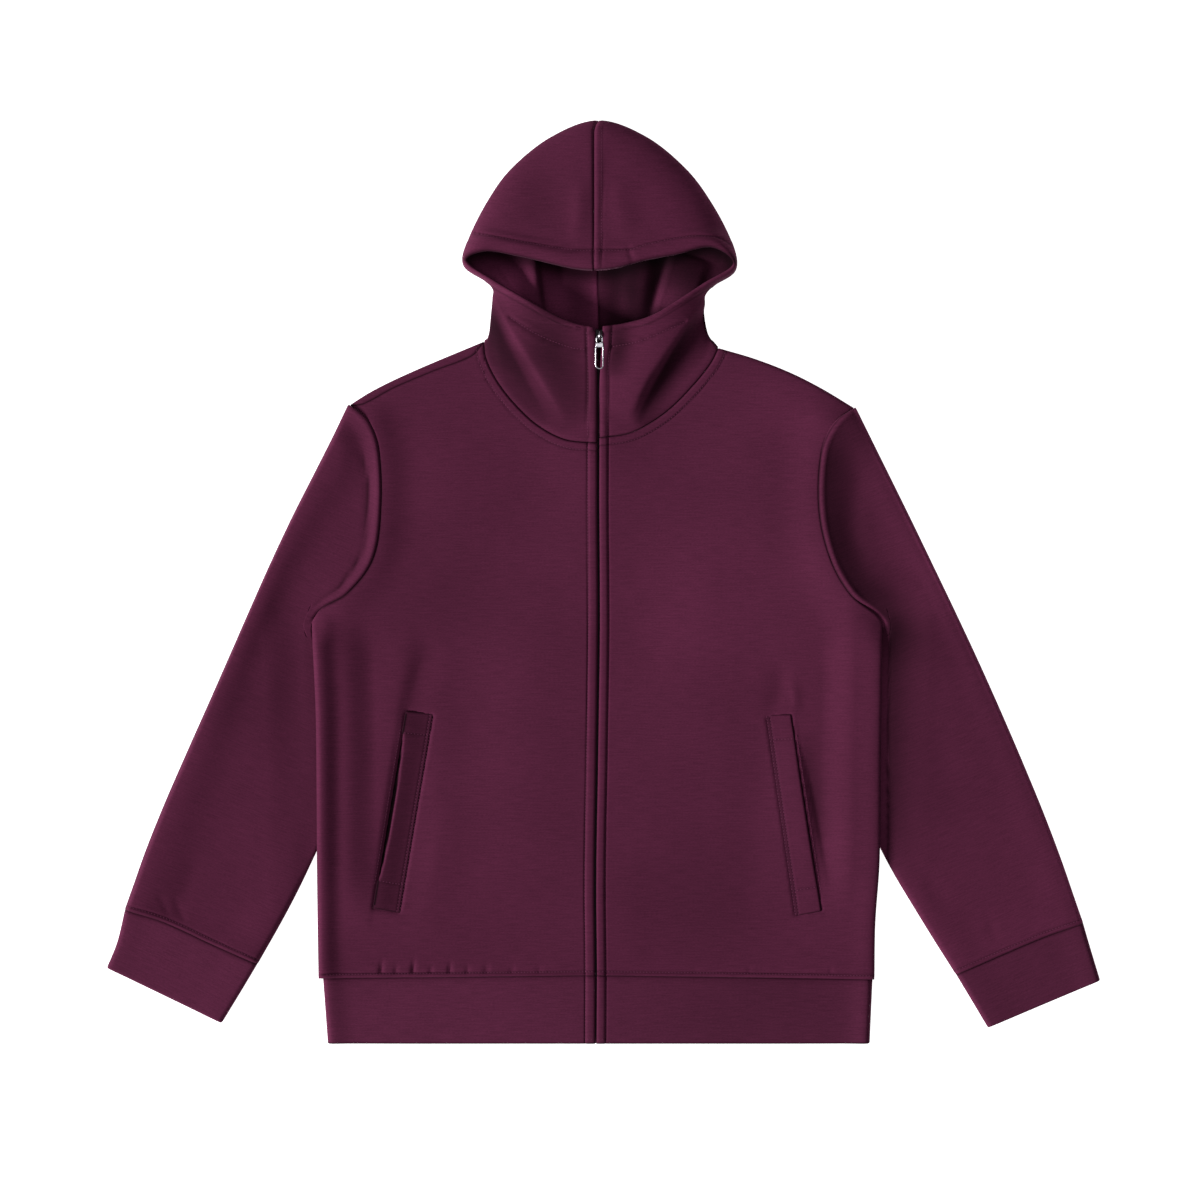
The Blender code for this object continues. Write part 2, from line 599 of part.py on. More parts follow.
def crease_drop(side, point):
    """Depth of the hollow beside the collar's diagonal fold."""
    crease = COLLAR_CREASES[side]
    high = np.array((crease.high_across, crease.high_up))
    low = np.array((crease.low_across, crease.low_up))
    run = high - low
    away = np.array((abs(point[0]), point[1])) - low
    share = min(max(float(away @ run) / float(run @ run), 0.0), 1.0)
    outward = (away[0] * run[1] - away[1] * run[0]) / math.hypot(*run)
    hollow = math.exp(-(((outward - CREASE_OFFSET) / CREASE_WIDTH) ** 2))
    return crease.depth * math.sin(math.pi * share) * hollow


def hood_rows(side):
    """Sections in order, with rows between them; the row past the crown seam is its mirror image."""
    neck, flat = neck_section(side, PLAN_SEAM), neck_section(side, 4 * PLAN_SEAM)
    sections = [hood_section(section, SIDES[side]) for section in HOOD[side]]
    mirrored = [(-x, y, z) for x, y, z in sections[-2]]
    knots = [np.array(points) for points in [neck, flat, *sections, mirrored]]
    corner = 3
    rows = [knots[0]]
    for i in range(1, len(knots) - 2):
        a, b, c, d = knots[i - 1:i + 3]
        leave, arrive = (c - b if i == 1 else (c - a) / 2), (d - b) / 2
        for column in (-1, -2):
            if i == corner:
                leave[column] = (c - b)[column]
            if i + 1 == corner:
                arrive[column] = (c - b)[column]
        rows += [hermite(b, c, leave, arrive, step / 2) for step in range(2)]
    rows.append(knots[-2])
    for row in rows:
        for column in range(FLOOR_COLUMNS - 1):
            row[column][2] += pleat_height(side, row[column])
        for column in range(FLOOR_COLUMNS + 2, len(row)):
            row[column][2] -= crease_drop(side, row[column])
    return rows


# Trims ---------------------------------------------------------------------------------------

def surface(rows):
    """Rows of points as a surface that other pieces take their heights from."""
    columns = len(rows[0])
    points = [tuple(point) for row in rows for point in row]
    corners = [(j * columns + i, j * columns + i + 1, (j + 1) * columns + i + 1, (j + 1) * columns + i)
               for j in range(len(rows) - 1) for i in range(columns - 1)]
    return BVHTree.FromPolygons(points, corners)


def height_on(surfaces, point):
    hits = [tree.ray_cast(Vector((*point, 100.0)), Vector((0.0, 0.0, -1.0)))[0] for tree in surfaces]
    return max(hit.z for hit in hits if hit)


def make_welt(side, front, material, collection, parent):
    """A pocket welt, lying on the front's own points."""
    corners = [np.array((SIDES[side] * across, up)) for across, up in WELT_CORNERS[side]]
    top_out, top_in, low_out, low_in = corners
    out_of_front = WALL + SEAM
    rows = []
    for share in evenly(WELT_ROWS):
        ends = top_out + (low_out - top_out) * share, top_in + (low_in - top_in) * share
        points = straight(*ends, evenly(3))
        rows.append([(*point, height_on([front], point) + out_of_front) for point in points])
    return add_sheet(f"pocket_welt_{side}", rows, WALL, material, collection, parent)


def make_zip_tape(side, carriers, material, collection, parent):
    """A tape under the turned edges of the front and the hood, from the hem band up."""
    below = WALL / 2 + SEAM + TAPE_WALL / 2
    rows = []
    for up in straight((TAPE_LOW,), (TAPE_HIGH,), evenly(TAPE_ROWS))[:, 0]:
        row = []
        for across in (TAPE_INNER, (TAPE_INNER + TAPE_OUTER) / 2, TAPE_OUTER):
            carrier_point = (SIDES[side] * max(across, ZIP_TOP_GAP[side] + 0.5), max(up, PANEL_BOTTOM + 1))
            drop = below + TAPE_NECK_DROP * ramp(up, *TAPE_NECK_ROWS)
            height = max(height_on(carriers, carrier_point) - drop, TAPE_Z)
            row.append((SIDES[side] * across, up, height))
        rows.append(row)
    return add_sheet(f"zip_tape_{side}", rows, TAPE_WALL, material, collection, parent)


def wire(name, points, thickness, collection, closed=True):
    """A round wire through points, made a mesh with its caps joined on."""
    curve = bpy.data.curves.new(name, "CURVE")
    curve.dimensions = "3D"
    curve.bevel_depth, curve.bevel_resolution = thickness / 2 * MM, 2
    curve.use_fill_caps = True
    spline = curve.splines.new("POLY")
    spline.points.add(len(points) - 1)
    for knot, point in zip(spline.points, points):
        knot.co = (*(Vector(point) * MM), 1.0)
    spline.use_cyclic_u = closed
    holder = bpy.data.objects.new(name, curve)
    collection.objects.link(holder)
    mesh = bpy.data.meshes.new_from_object(holder.evaluated_get(bpy.context.evaluated_depsgraph_get()))
    bpy.data.objects.remove(holder, do_unlink=True)
    bm = bmesh.new()
    bm.from_mesh(mesh)
    bmesh.ops.remove_doubles(bm, verts=bm.verts, dist=0.001 * MM)
    bmesh.ops.recalc_face_normals(bm, faces=bm.faces)
    bm.to_mesh(mesh)
    bm.free()
    return mesh


def block(name, size, bevel):
    """A box with rounded edges, centred on its origin."""
    bm = bmesh.new()
    bmesh.ops.create_cube(bm, size=1.0)
    bmesh.ops.scale(bm, vec=Vector(size) * MM, verts=bm.verts)
    bmesh.ops.bevel(bm, geom=bm.edges[:], offset=bevel * MM, segments=2, affect="EDGES", profile=0.5)
    mesh = bpy.data.meshes.new(name)
    bm.to_mesh(mesh)
    bm.free()
    return mesh


def stadium(width, start, end):
    """A loop with round ends, in the pull's own plane."""
    radius = width / 2
    angles = [math.pi * share for share in evenly(TURN_STEPS)]
    top = [(radius * math.cos(angle), -start - radius + radius * math.sin(angle), 0.0) for angle in angles]
    low = [(-radius * math.cos(angle), -end + radius - radius * math.sin(angle), 0.0) for angle in angles]
    return top + low


def join_meshes(name, base, others, collection):
    """Boolean union of closed meshes, each (mesh, place)."""
    piece = bpy.data.objects.new(name, base)
    collection.objects.link(piece)
    for mesh, place in others:
        helper = bpy.data.objects.new(name + "_part", mesh)
        collection.objects.link(helper)
        helper.location = Vector(place) * MM
        union = piece.modifiers.new("union", "BOOLEAN")
        union.operation, union.object = "UNION", helper
        bpy.context.view_layer.update()
        joined = bpy.data.meshes.new_from_object(piece.evaluated_get(bpy.context.evaluated_depsgraph_get()))
        piece.modifiers.remove(union)
        piece.data = joined
        bpy.data.objects.remove(helper, do_unlink=True)
    mesh = piece.data
    mesh.name = name
    bpy.data.objects.remove(piece, do_unlink=True)
    return mesh


def make_pull(material, collection, parent):
    """Eye, bridge and long open loop of one casting, hung on its hinge line."""
    loop = wire("loop", stadium(LOOP_WIDTH - LOOP_WIRE, LOOP_START + LOOP_WIRE / 2, LOOP_END - LOOP_WIRE / 2),
                LOOP_WIRE, collection)
    eye = wire("eye", stadium(EYE_WIDTH - EYE_WIRE, 0.0, EYE_END), EYE_WIRE, collection)
    bridge = block("bridge", (BRIDGE_WIDTH, BRIDGE_END - BRIDGE_START, BRIDGE_THICK), BRIDGE_EDGE)
    middle = (0.0, -(BRIDGE_START + BRIDGE_END) / 2, 0.0)
    mesh = join_meshes("zip_pull", loop, [(bridge, middle), (eye, (0.0, 0.0, 0.0))], collection)
    pull = add_object("zip_pull", mesh, material, collection, parent)
    pull.location = Vector((PULL_ACROSS, PULL_HINGE_UP, PULL_HINGE_Z)) * MM
    pull.rotation_euler = (PULL_TILT, 0.0, 0.0)
    return pull


def make_slider(material, collection, parent):
    """Slider body behind the turned edges, with the bail that stands out between them."""
    body = block("slider_body", SLIDER_SIZE, SLIDER_EDGE)
    top = PULL_HINGE_Z - SLIDER_Z + BAIL_TOP
    corner = [math.pi / 2 * share for share in evenly(3)]
    half = [(0.0, BAIL_REACH, 0.0)]
    for angle in corner:
        reach = BAIL_REACH - BAIL_CORNER * (1 - math.cos(angle))
        half.append((0.0, reach, top - BAIL_CORNER * (1 - math.sin(angle))))
    arch = [(x, -y, z) for x, y, z in half] + half[::-1]
    bail = wire("bail", arch, BAIL_WIRE, collection, closed=False)
    mesh = join_meshes("zip_slider", body, [(bail, (0.0, 0.0, 0.0))], collection)
    slider = add_object("zip_slider", mesh, material, collection, parent)
    slider.location = Vector((PULL_ACROSS, SLIDER_UP, SLIDER_Z)) * MM
    return slider


# Build ---------------------------------------------------------------------------------------

def main():
    for leftover in list(bpy.data.objects):
        bpy.data.objects.remove(leftover, do_unlink=True)
    collection = new_collection("zip_up_hoodie")
    body, rib, tape, metal = (new_material(name) for name in COLOURS)
    origin = bpy.data.objects.new("hem_centre", None)
    collection.objects.link(origin)
    origin.location = (-CENTRE_ACROSS * MM, -CENTRE_UP * MM, 0.0)
    make_back(body, collection, origin)
    make_hem_band(rib, collection, origin)
    for side in SIDES:
        front, hood = front_rows(side), hood_rows(side)
        carriers = [surface(front), surface(hood)]
        add_sheet(f"front_{side}", front, WALL, body, collection, origin)
        add_sheet(f"hood_{side}", hood, WALL, body, collection, origin)
        make_sleeve(side, body, collection, origin)
        make_cuff(side, rib, collection, origin)
        make_welt(side, carriers[0], body, collection, origin)
        make_zip_tape(side, carriers, tape, collection, origin)
    make_slider(metal, collection, origin)
    make_pull(metal, collection, origin)
    bpy.context.view_layer.update()


main()
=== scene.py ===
# A zip up hoodie laid flat on its back: cloth shells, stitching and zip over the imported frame.
# Tables are in millimetres, across from the zip line and up from the hem's edge. Right and left are
# the wearer's, so the right half lies at negative X.
import math

import bpy
import numpy as np
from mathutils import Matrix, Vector
from mathutils.bvhtree import BVHTree


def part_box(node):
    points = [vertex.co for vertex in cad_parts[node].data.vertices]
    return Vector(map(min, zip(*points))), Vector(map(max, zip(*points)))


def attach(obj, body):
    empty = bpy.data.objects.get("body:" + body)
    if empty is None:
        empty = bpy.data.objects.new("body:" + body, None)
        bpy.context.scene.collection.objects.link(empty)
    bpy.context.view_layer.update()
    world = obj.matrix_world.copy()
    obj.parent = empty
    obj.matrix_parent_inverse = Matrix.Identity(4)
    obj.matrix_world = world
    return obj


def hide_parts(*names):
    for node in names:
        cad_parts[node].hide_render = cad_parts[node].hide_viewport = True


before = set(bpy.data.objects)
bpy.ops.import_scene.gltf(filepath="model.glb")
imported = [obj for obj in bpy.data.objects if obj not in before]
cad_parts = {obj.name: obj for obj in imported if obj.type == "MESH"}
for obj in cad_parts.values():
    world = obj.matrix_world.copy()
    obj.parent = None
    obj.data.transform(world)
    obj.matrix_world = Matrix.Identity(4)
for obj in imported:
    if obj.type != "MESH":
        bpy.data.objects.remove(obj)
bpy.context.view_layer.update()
scene = bpy.context.scene
mm = 0.001
sides = {"right": -1.0, "left": 1.0}

cloth = {
    "wall": 1.8,            # air-layer knit
    "doubleWall": 2.4,      # the same cloth folded, in the hem band and the cuffs
    "seam": 0.3,            # clearance where two pieces meet
    "grid": 2.9,            # usual size of a face
    "thinEdge": 0.3,        # share of the wall that is left at a sewn edge
    "edgeRun": 2.4,         # how far in the wall is full
    "zipGrid": 0.9,         # width of a face beside the zip
    "paintedShadings": (-2.0, 0.97), # how far painted light and painted shade may go
}
edgeSteps = (0.0, 0.35, 0.8, 1.4, 2.1, 3.0, 4.0, 5.2, 6.6, 8.2, 10.0)
stitchSteps = (0.0, 0.4, 0.9, 1.6, 2.4, 3.0, 3.6, 4.2, 5.0, 5.8, 6.4, 7.0, 7.6, 8.2, 9.0, 10.2, 12.0)

# Outlines that neighbouring pieces share -------
body = {
    "panelBottom": 66.6,
    "floor": 0.9,           # middle of the layer on the surface
    "edge": 3.3,            # middle of the front at its folded sides
    "front": 4.9,
    "edgeRun": 34.0,
    "neckRise": 2.1, "neckUp": 606.0, "neckFlat": 4.0, "neckRun": 90.0,
    "tuckLift": 5.1, "tuckFull": 26.0, "tuckEnd": 60.0,
    "tuckRows": (112.0, 180.0, 384.0, 440.0),
    "zipGap": 0.75,
    # where a panel's corners fall as shares of its top and its side, and how long those stretches are
    "neckShare": 0.46, "underarmShare": 0.62, "backNeckShare": 0.25,
    "sideRun": 354.0, "armRun": 206.0,
    # up, right across, left across
    "sideSeam": ((66.6, 279.5, 275.5), (121.0, 280.5, 276.5), (185.0, 280.8, 280.5),
                 (293.0, 281.5, 281.5), (343.0, 282.5, 282.2), (421.0, 286.5, 283.5)),
    # right across, right up, left across, left up, here and in the tables after it
    "armhole": ((286.5, 421.0, 283.5, 421.0), (276.5, 434.5, 275.0, 430.0), (250.0, 450.0, 252.0, 448.5),
                (225.0, 483.5, 232.0, 483.5), (217.0, 534.0, 220.5, 534.0), (219.0, 593.0, 223.5, 593.0),
                (230.0, 622.0, 237.0, 620.0), (248.0, 638.0, 255.0, 635.0)),
    "shoulder": ((115.0, 701.0, 120.5, 694.5), (172.5, 677.0, 156.0, 684.0), (208.0, 661.0, 192.0, 670.0),
                 (230.0, 649.5, 223.5, 654.0), (248.0, 638.0, 255.0, 635.0)),
    "neckSeam": ((1.2, 599.5, 1.2, 604.8), (32.5, 603.0, 29.5, 609.0), (60.0, 617.0, 48.0, 617.0),
                 (83.0, 638.0, 71.0, 633.0), (101.0, 661.0, 94.0, 656.0), (112.5, 684.0, 112.5, 679.0),
                 (115.0, 701.0, 120.5, 694.5)),
    "backNeckUp": 682.5, "backNeckHalfway": (62.0, 687.0),
}


def smoothPath(points, steps=10):
    knots = [np.array(point, float) for point in points]
    knots = [2 * knots[0] - knots[1]] + knots + [2 * knots[-1] - knots[-2]]
    dense = []
    for a, b, c, d in zip(knots, knots[1:], knots[2:], knots[3:]):
        reach = math.dist(b, c)
        leave = (c - a) * reach / (math.dist(a, b) + reach)
        arrive = (d - b) * reach / (math.dist(c, d) + reach)
        dense += [hermite(b, c, leave, arrive, step / steps) for step in range(steps)]
    return np.array(dense + [knots[-2]])


def hermite(start, end, leave, arrive, t):
    return ((2 * t**3 - 3 * t**2 + 1) * start + (t**3 - 2 * t**2 + t) * leave
            + (3 * t**2 - 2 * t**3) * end + (t**3 - t**2) * arrive)


def pathLength(path):
    return float(np.linalg.norm(np.diff(path, axis=0), axis=1).sum())


def sampled(path, shares):
    lengths = np.concatenate(([0.0], np.cumsum(np.linalg.norm(np.diff(path, axis=0), axis=1))))
    places = np.array(shares) * lengths[-1]
    return np.stack([np.interp(places, lengths, path[:, axis]) for axis in range(path.shape[1])], axis=1)


def movedAside(path, distance):
    run = np.gradient(path, axis=0)
    normal = np.stack((-run[:, 1], run[:, 0]), axis=1)
    return path + distance * normal / np.linalg.norm(normal, axis=1)[:, None]


def halfPath(rows, side):
    sign, first = sides[side], (0 if side == "right" else 2)
    return smoothPath([(sign * row[first], row[first + 1]) for row in rows])


def splined(knots, places, wanted):
    # a smooth run through rows of points at the given places, read at the wanted places
    places, wanted = np.array(places, float), np.array(wanted, float)
    slopes = np.gradient(knots, places, axis=0)
    i = np.clip(np.searchsorted(places, wanted, side="right") - 1, 0, len(places) - 2)
    shape = (-1,) + (1,) * (knots.ndim - 1)
    width = (places[i + 1] - places[i])
    t, width = ((wanted - places[i]) / width).reshape(shape), width.reshape(shape)
    return hermite(knots[i], knots[i + 1], slopes[i] * width, slopes[i + 1] * width, t)


def shares(length, spacing, start=(0.0,), end=(0.0,)):
    # places along a piece as shares of its length, closer together at its two ends
    count = max(int(round((length - start[-1] - end[-1]) / spacing)), 1)
    middle = np.linspace(start[-1], length - end[-1], count + 1)
    return np.concatenate((start[:-1], middle, length - np.array(end[:-1])[::-1])) / length


def ramp(value, low, high):
    t = np.clip((value - low) / (high - low), 0, 1)
    return t * t * (3 - 2 * t)


def rounding(distance, run):
    return np.sqrt(1 - (1 - np.clip(distance / run, 0, 1)) ** 2)


def bump(distance, width):
    return np.exp(-(distance / width) ** 2)


def nearPath(points, path):
    # distance from a path, the length along it, and the distance to its left
    starts, spans = path[:-1], np.diff(path, axis=0)
    lengths = np.linalg.norm(spans, axis=1)
    offset = points[..., None, :2] - starts
    share = np.clip((offset * spans).sum(-1) / lengths ** 2, 0, 1)
    distance = np.linalg.norm(offset - share[..., None] * spans, axis=-1)
    nearest = distance.argmin(-1)[..., None]
    before = np.concatenate(([0.0], np.cumsum(lengths)[:-1]))
    cross = spans[:, 0] * offset[..., 1] - spans[:, 1] * offset[..., 0]
    pick = [np.take_along_axis(values, nearest, -1)[..., 0] for values in
            (distance, before + share * lengths, np.sign(cross))]
    return pick[0], pick[1], pick[0] * pick[2]


def gapTo(points, path):
    return nearPath(points, path)[0]


def between(value, start, end):
    # 1 between two places and 0 beyond them, each with a run of its own
    return ramp(value, *start) * ramp(value, *end)


def alongLine(points, line, left, right, taper):
    # 1 on a line, less within a width on its left and one on its right, and nothing at its ends
    path = smoothPath(line)
    distance, along, leftward = nearPath(points, path)
    fade = np.sin(math.pi * np.clip(along / pathLength(path), 0, 1)) ** taper
    return fade * np.where(leftward > 0, bump(distance, left), bump(distance, right))


def folded(points, folds, taper=0.8):
    # soft ridges and troughs, each along its own line: rise, width on its left and on its right
    total = np.zeros(points.shape[:-1])
    for line, rise, left, right in folds:
        total += rise * alongLine(points, line, left, right, taper)
    return total


# painted shades laid over each other; below zero they are painted light
def overlaid(*paintedShadings):
    clear = 1.0
    for paintedShading in paintedShadings:
        clear = clear * (1 - paintedShading)
    return 1 - clear


def shaded(points, lines, taper=0.6):
    # soft painted shade along lines, in the same order as folds; below zero painted light
    return overlaid(*(dark * alongLine(points, line, left, right, taper)
                      for line, dark, left, right in lines))


def paintedPatchShade(points, spots):
    # soft patches of painted shade, and of painted light where their depth is below zero: across, up, reach
    # and depth
    return sum(paintedShading * bump(np.hypot(points[..., 0] - across, points[..., 1] - up), reach)
               for across, up, reach, paintedShading in spots)


def ridge(gap, rise, place, width):
    return rise * bump(gap - place, width)


def crest(gap, rise, place, inner, outer):
    # an edge stands up over the middle, more steeply on the side of its fold
    return ridge(gap, rise, place, np.where(gap > place, outer, inner))


# a sewn edge: how it rolls under, the band of its allowance and the ditch of its stitching
sewn = {"lip": 0.8, "roll": 2.2, "band": 0.4, "bandStart": (0.2, 2.0), "bandEnd": (0.8, -1.0),
        "ditch": 0.45, "ditchPast": 0.3, "ditchWidth": 0.9}


def sewnEdge(distance, stitch=None, lip=sewn["lip"]):
    height = -lip * (1 - rounding(distance, sewn["roll"]))
    if stitch:
        last, full = sewn["bandEnd"]
        height += sewn["band"] * between(distance, sewn["bandStart"], (stitch + last, stitch + full))
        height -= sewn["ditch"] * bump(distance - stitch - sewn["ditchPast"], sewn["ditchWidth"])
    return height


def patch(bottom, top, start, end, us, vs, hold=1):
    us, vs = np.array(us)[None, :, None], np.array(vs)[:, None, None]
    ruled = (1 - vs) * bottom[None] + vs * top[None]
    startBend, endBend = start[:, None] - ruled[:, :1], end[:, None] - ruled[:, -1:]
    return ruled + (1 - us) ** hold * startBend + us ** hold * endBend


def straight(start, end, parts):
    parts = np.array(parts)[:, None]
    return np.array(start) * (1 - parts) + np.array(end) * parts


armholes = {side: halfPath(body["armhole"], side) for side in sides}
shoulders = {side: halfPath(body["shoulder"], side) for side in sides}
neckSeams = {side: halfPath(body["neckSeam"], side) for side in sides}
sideSeams = {side: smoothPath([(sign * (row[1] if side == "right" else row[2]), row[0])
                               for row in body["sideSeam"]]) for side, sign in sides.items()}
backNecks = {side: smoothPath(((0.0, body["backNeckUp"]),
                               (sign * body["backNeckHalfway"][0], body["backNeckHalfway"][1]),
                               neckSeams[side][-1])) for side, sign in sides.items()}

# Where the garment's own zero lies in the frame
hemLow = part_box("hem_band")[0]
hem = {
    "top": 66.0, "side": {"right": (275.5, 270.5), "left": (274.0, 271.0)}, "high": 5.2,
    "flatFrom": 175.0, "turn": 12.0, "tuck": 2.4, "sink": 2.0, "sinkRun": 9.0,
    "swell": 0.9, "swellRound": 0.6, "sideRise": (1.8, 4.0, 12.0), "bottomRoll": (0.8, 3.2),
    "halfRun": 268.0, "zipRun": 13.0, "grid": 2.6, "turnSteps": 8, "underColumns": 46,
    # painted light and shade patches: across, up, reach and depth
    "paintedShadePatches": ((151.0, 31.0, 100.0, 0.2), (-148.0, 31.0, 90.0, -0.07)),
    # how its seam wanders, by the distance across
    "waveAcross": (-275.0, -140.0, -60.0, 0.0, 120.0, 274.0), "wave": (-1.4, 0.2, 1.2, 1.8, 0.2, -2.6),
}
origin = np.array((hemLow.x + hem["side"]["right"][0] * mm, hemLow.y, 0.0))

# how the zip's line wanders from straight: places up it, how far across and how far that reaches
zipWander = {
    "up": (0.0, 60.0, 100.0, 140.0, 180.0, 220.0, 260.0, 300.0, 340.0, 380.0, 420.0, 460.0, 540.0, 600.0,
           706.0),
    "across": (-2.7, -2.4, -2.8, -3.3, -3.2, -2.6, -1.8, -1.2, -0.6, 0.0, 0.4, 0.3, -0.3, -0.2, 0.0),
    "reach": 110.0,
}


def placed(points):
    # from the garment's own millimetres to the frame's metres
    points = np.array(points, float)
    wander = np.interp(points[..., 1], zipWander["up"], zipWander["across"])
    points[..., 0] += wander * bump(points[..., 0], zipWander["reach"])
    return points * mm + origin


def gridFaces(rowCount, columnCount, ring):
    index = np.arange(rowCount * columnCount).reshape(rowCount, columnCount)
    if ring:
        index = np.concatenate((index, index[:, :1]), axis=1)
    corners = (index[:-1, :-1], index[:-1, 1:], index[1:, 1:], index[1:, :-1])
    return np.stack(corners, axis=-1).reshape(-1, 4)


def paintedLineShade(points, lines):
    # painted shade where points lie in sewn and folded-in lines: each line's path, half width and depth
    paintedShading = np.zeros(points.shape[:-1])
    for path, width, dark in lines:
        paintedShading = np.maximum(paintedShading, dark * bump(gapTo(points, path), width))
    return paintedShading


def addObject(name, data):
    piece = bpy.data.objects.new(name, data)
    scene.collection.objects.link(piece)
    return piece


def clothPiece(name, rows, wall, weights, grain, paintedShading, ring=False, turned=False):
    # a sheet from its middle surface, with a wall that thins at its sewn edges; turned puts the
    # outside of the cloth on the other face of the grid
    rows = np.asarray(rows, float)
    faces = gridFaces(rows.shape[0], rows.shape[1], ring)
    faces = faces[:, ::-1] if turned else faces
    mesh = bpy.data.meshes.new(name)
    mesh.from_pydata(placed(rows).reshape(-1, 3).tolist(), [], faces.tolist())
    grainMap = mesh.uv_layers.new(name="grain")
    corners = np.empty(len(mesh.loops), int)
    mesh.loops.foreach_get("vertex_index", corners)
    grainMap.data.foreach_set("uv", (grain.reshape(-1, 2)[corners] * mm).ravel())
    # painted shading kept on each point: painted shade above zero, painted light below it
    paintedShading = np.clip(paintedShading, *cloth["paintedShadings"]).ravel()
    mesh.attributes.new("paintedShading", "FLOAT", "POINT").data.foreach_set("value", paintedShading)
    mesh.shade_smooth()
    piece = addObject(name, mesh)
    group = piece.vertex_groups.new(name="wall")
    levels = np.round(np.clip(weights, 0, 1).ravel(), 2)
    for level in np.unique(levels):
        group.add(np.flatnonzero(levels == level).tolist(), float(level), "REPLACE")
    shell = piece.modifiers.new("wall", "SOLIDIFY")
    shell.thickness, shell.offset = wall * mm, 0.0
    shell.vertex_group, shell.thickness_vertex_group = "wall", cloth["thinEdge"]
    return piece


def finishPiece(piece, node, material):
    for layer in (material, paintedLightInsideKnit):
        piece.data.materials.append(layer)
    piece.modifiers["wall"].material_offset = 1
    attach(piece, "garment")
    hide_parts(node)
    clothPieces.append(piece)


clothPieces = []

# Knit, thread and metal -------
knit = {
    "body": (0.086, 0.0151, 0.0405),
    "bands": (0.088, 0.0160, 0.0420),
    # the cloth's inner face is painted lighter than the outside, as painted light for the hood's inside
    "inside": (0.130, 0.0230, 0.0620),
    # how much its colour varies along the courses, in flecks and in clouds
    "streak": 0.13, "fleck": 0.16, "mottle": 0.05,
    # those noises: how fine they are across and along, their detail and their roughness
    "courses": ((55.0, 700.0, 1.0), 3.0, 0.6), "flecks": ((420.0, 1500.0, 1.0), 2.0, 0.6),
    "clouds": ((9.0, 14.0, 1.0), 3.0, 0.5), "noiseSpan": (0.3, 0.7),
    # loops of the knit: how many, how uneven, with the detail of that and its size
    "wales": (330.0, 0.6, 1.0, 2.0), "rows": (420.0, 0.4), "fleckRelief": 0.6,
    "bump": 0.2, "bumpDepth": 0.0003,
    "roughness": 0.82, "roughSwing": 0.05, "specular": 0.04,
    "sheen": 0.05, "sheenRoughness": 0.45, "sheenTint": (1.0, 0.42, 0.66, 1.0),
}


def setInputs(tree, node, inputs):
    for name, value in inputs.items():
        if isinstance(value, bpy.types.NodeSocket):
            tree.links.new(value, node.inputs[name])
        else:
            node.inputs[name].default_value = value
    return node


def addNode(tree, kind, inputs=None, **settings):
    node = tree.nodes.new(kind)
    for name, value in settings.items():
        setattr(node, name, value)
    return setInputs(tree, node, inputs or {})


def newMaterial(name):
    material = bpy.data.materials.new(name)
    material.use_nodes = True
    return material, material.node_tree, material.node_tree.nodes["Principled BSDF"]


def newGroup(name, inputs, outputs):
    group = bpy.data.node_groups.new(name, "ShaderNodeTree")
    for sockets, way in ((inputs, "INPUT"), (outputs, "OUTPUT")):
        for label, kind in sockets.items():
            group.interface.new_socket(label, in_out=way, socket_type=f"NodeSocket{kind}")
    return group, group.nodes.new("NodeGroupInput"), group.nodes.new("NodeGroupOutput")


def stretchedNoise(tree, vector, scale, detail=2.0, roughness=0.5):
    stretch = addNode(tree, "ShaderNodeMapping", {"Vector": vector, "Scale": scale}).outputs[0]
    return addNode(tree, "ShaderNodeTexNoise", {"Vector": stretch, "Scale": 1.0, "Detail": detail,
                                                "Roughness": roughness}).outputs["Fac"]


def waveBands(tree, vector, run, scale, distortion, detail=2.0, detailScale=1.0):
    return addNode(tree, "ShaderNodeTexWave", {"Vector": vector, "Scale": scale, "Distortion": distortion,
                                               "Detail": detail, "Detail Scale": detailScale},
                   wave_type="BANDS", bands_direction=run).outputs["Fac"]


def ranged(tree, value, low, high, toLow, toHigh):
    return addNode(tree, "ShaderNodeMapRange", {"Value": value, "From Min": low, "From Max": high,
                                                "To Min": toLow, "To Max": toHigh}).outputs[0]


def maths(tree, operation, first, second):
    return addNode(tree, "ShaderNodeMath", {0: first, 1: second}, operation=operation).outputs[0]


def makeKnitGroup():
    # a fine smooth knit: courses that vary along their run, flecks, and wales too fine to see far off
    group, entry, leave = newGroup(
        "fineKnit",
        {"Vector": "Vector", "Colour": "Color", "Streak": "Float", "Fleck": "Float", "Mottle": "Float",
         "Roughness": "Float", "Depth": "Float"},
        {"Colour": "Color", "Roughness": "Float", "Height": "Float"})
    vector, span = entry.outputs["Vector"], knit["noiseSpan"]
    courses, flecks, clouds = (stretchedNoise(group, vector, *knit[name]) for name in
                               ("courses", "flecks", "clouds"))
    tone = 1.0
    for value, name in ((courses, "Streak"), (flecks, "Fleck"), (clouds, "Mottle")):
        swing = maths(group, "MULTIPLY", ranged(group, value, *span, -1.0, 1.0), entry.outputs[name])
        tone = maths(group, "ADD", tone, swing)
    # the painted shading darkens the colour, and below zero lightens it
    tone = maths(group, "MULTIPLY", tone, maths(group, "SUBTRACT", 1.0, entry.outputs["Depth"]))
    toned = addNode(group, "ShaderNodeVectorMath", {0: entry.outputs["Colour"], "Scale": tone},
                    operation="SCALE")
    swing = knit["roughSwing"]
    rough = maths(group, "ADD", entry.outputs["Roughness"], ranged(group, flecks, *span, -swing, swing))
    loops = maths(group, "MULTIPLY", waveBands(group, vector, "X", *knit["wales"]),
                  waveBands(group, vector, "Y", *knit["rows"]))
    height = maths(group, "ADD", loops, maths(group, "MULTIPLY", flecks, knit["fleckRelief"]))
    setInputs(group, leave, {"Colour": toned.outputs[0], "Roughness": rough, "Height": height})
    return group


knitGroup = makeKnitGroup()


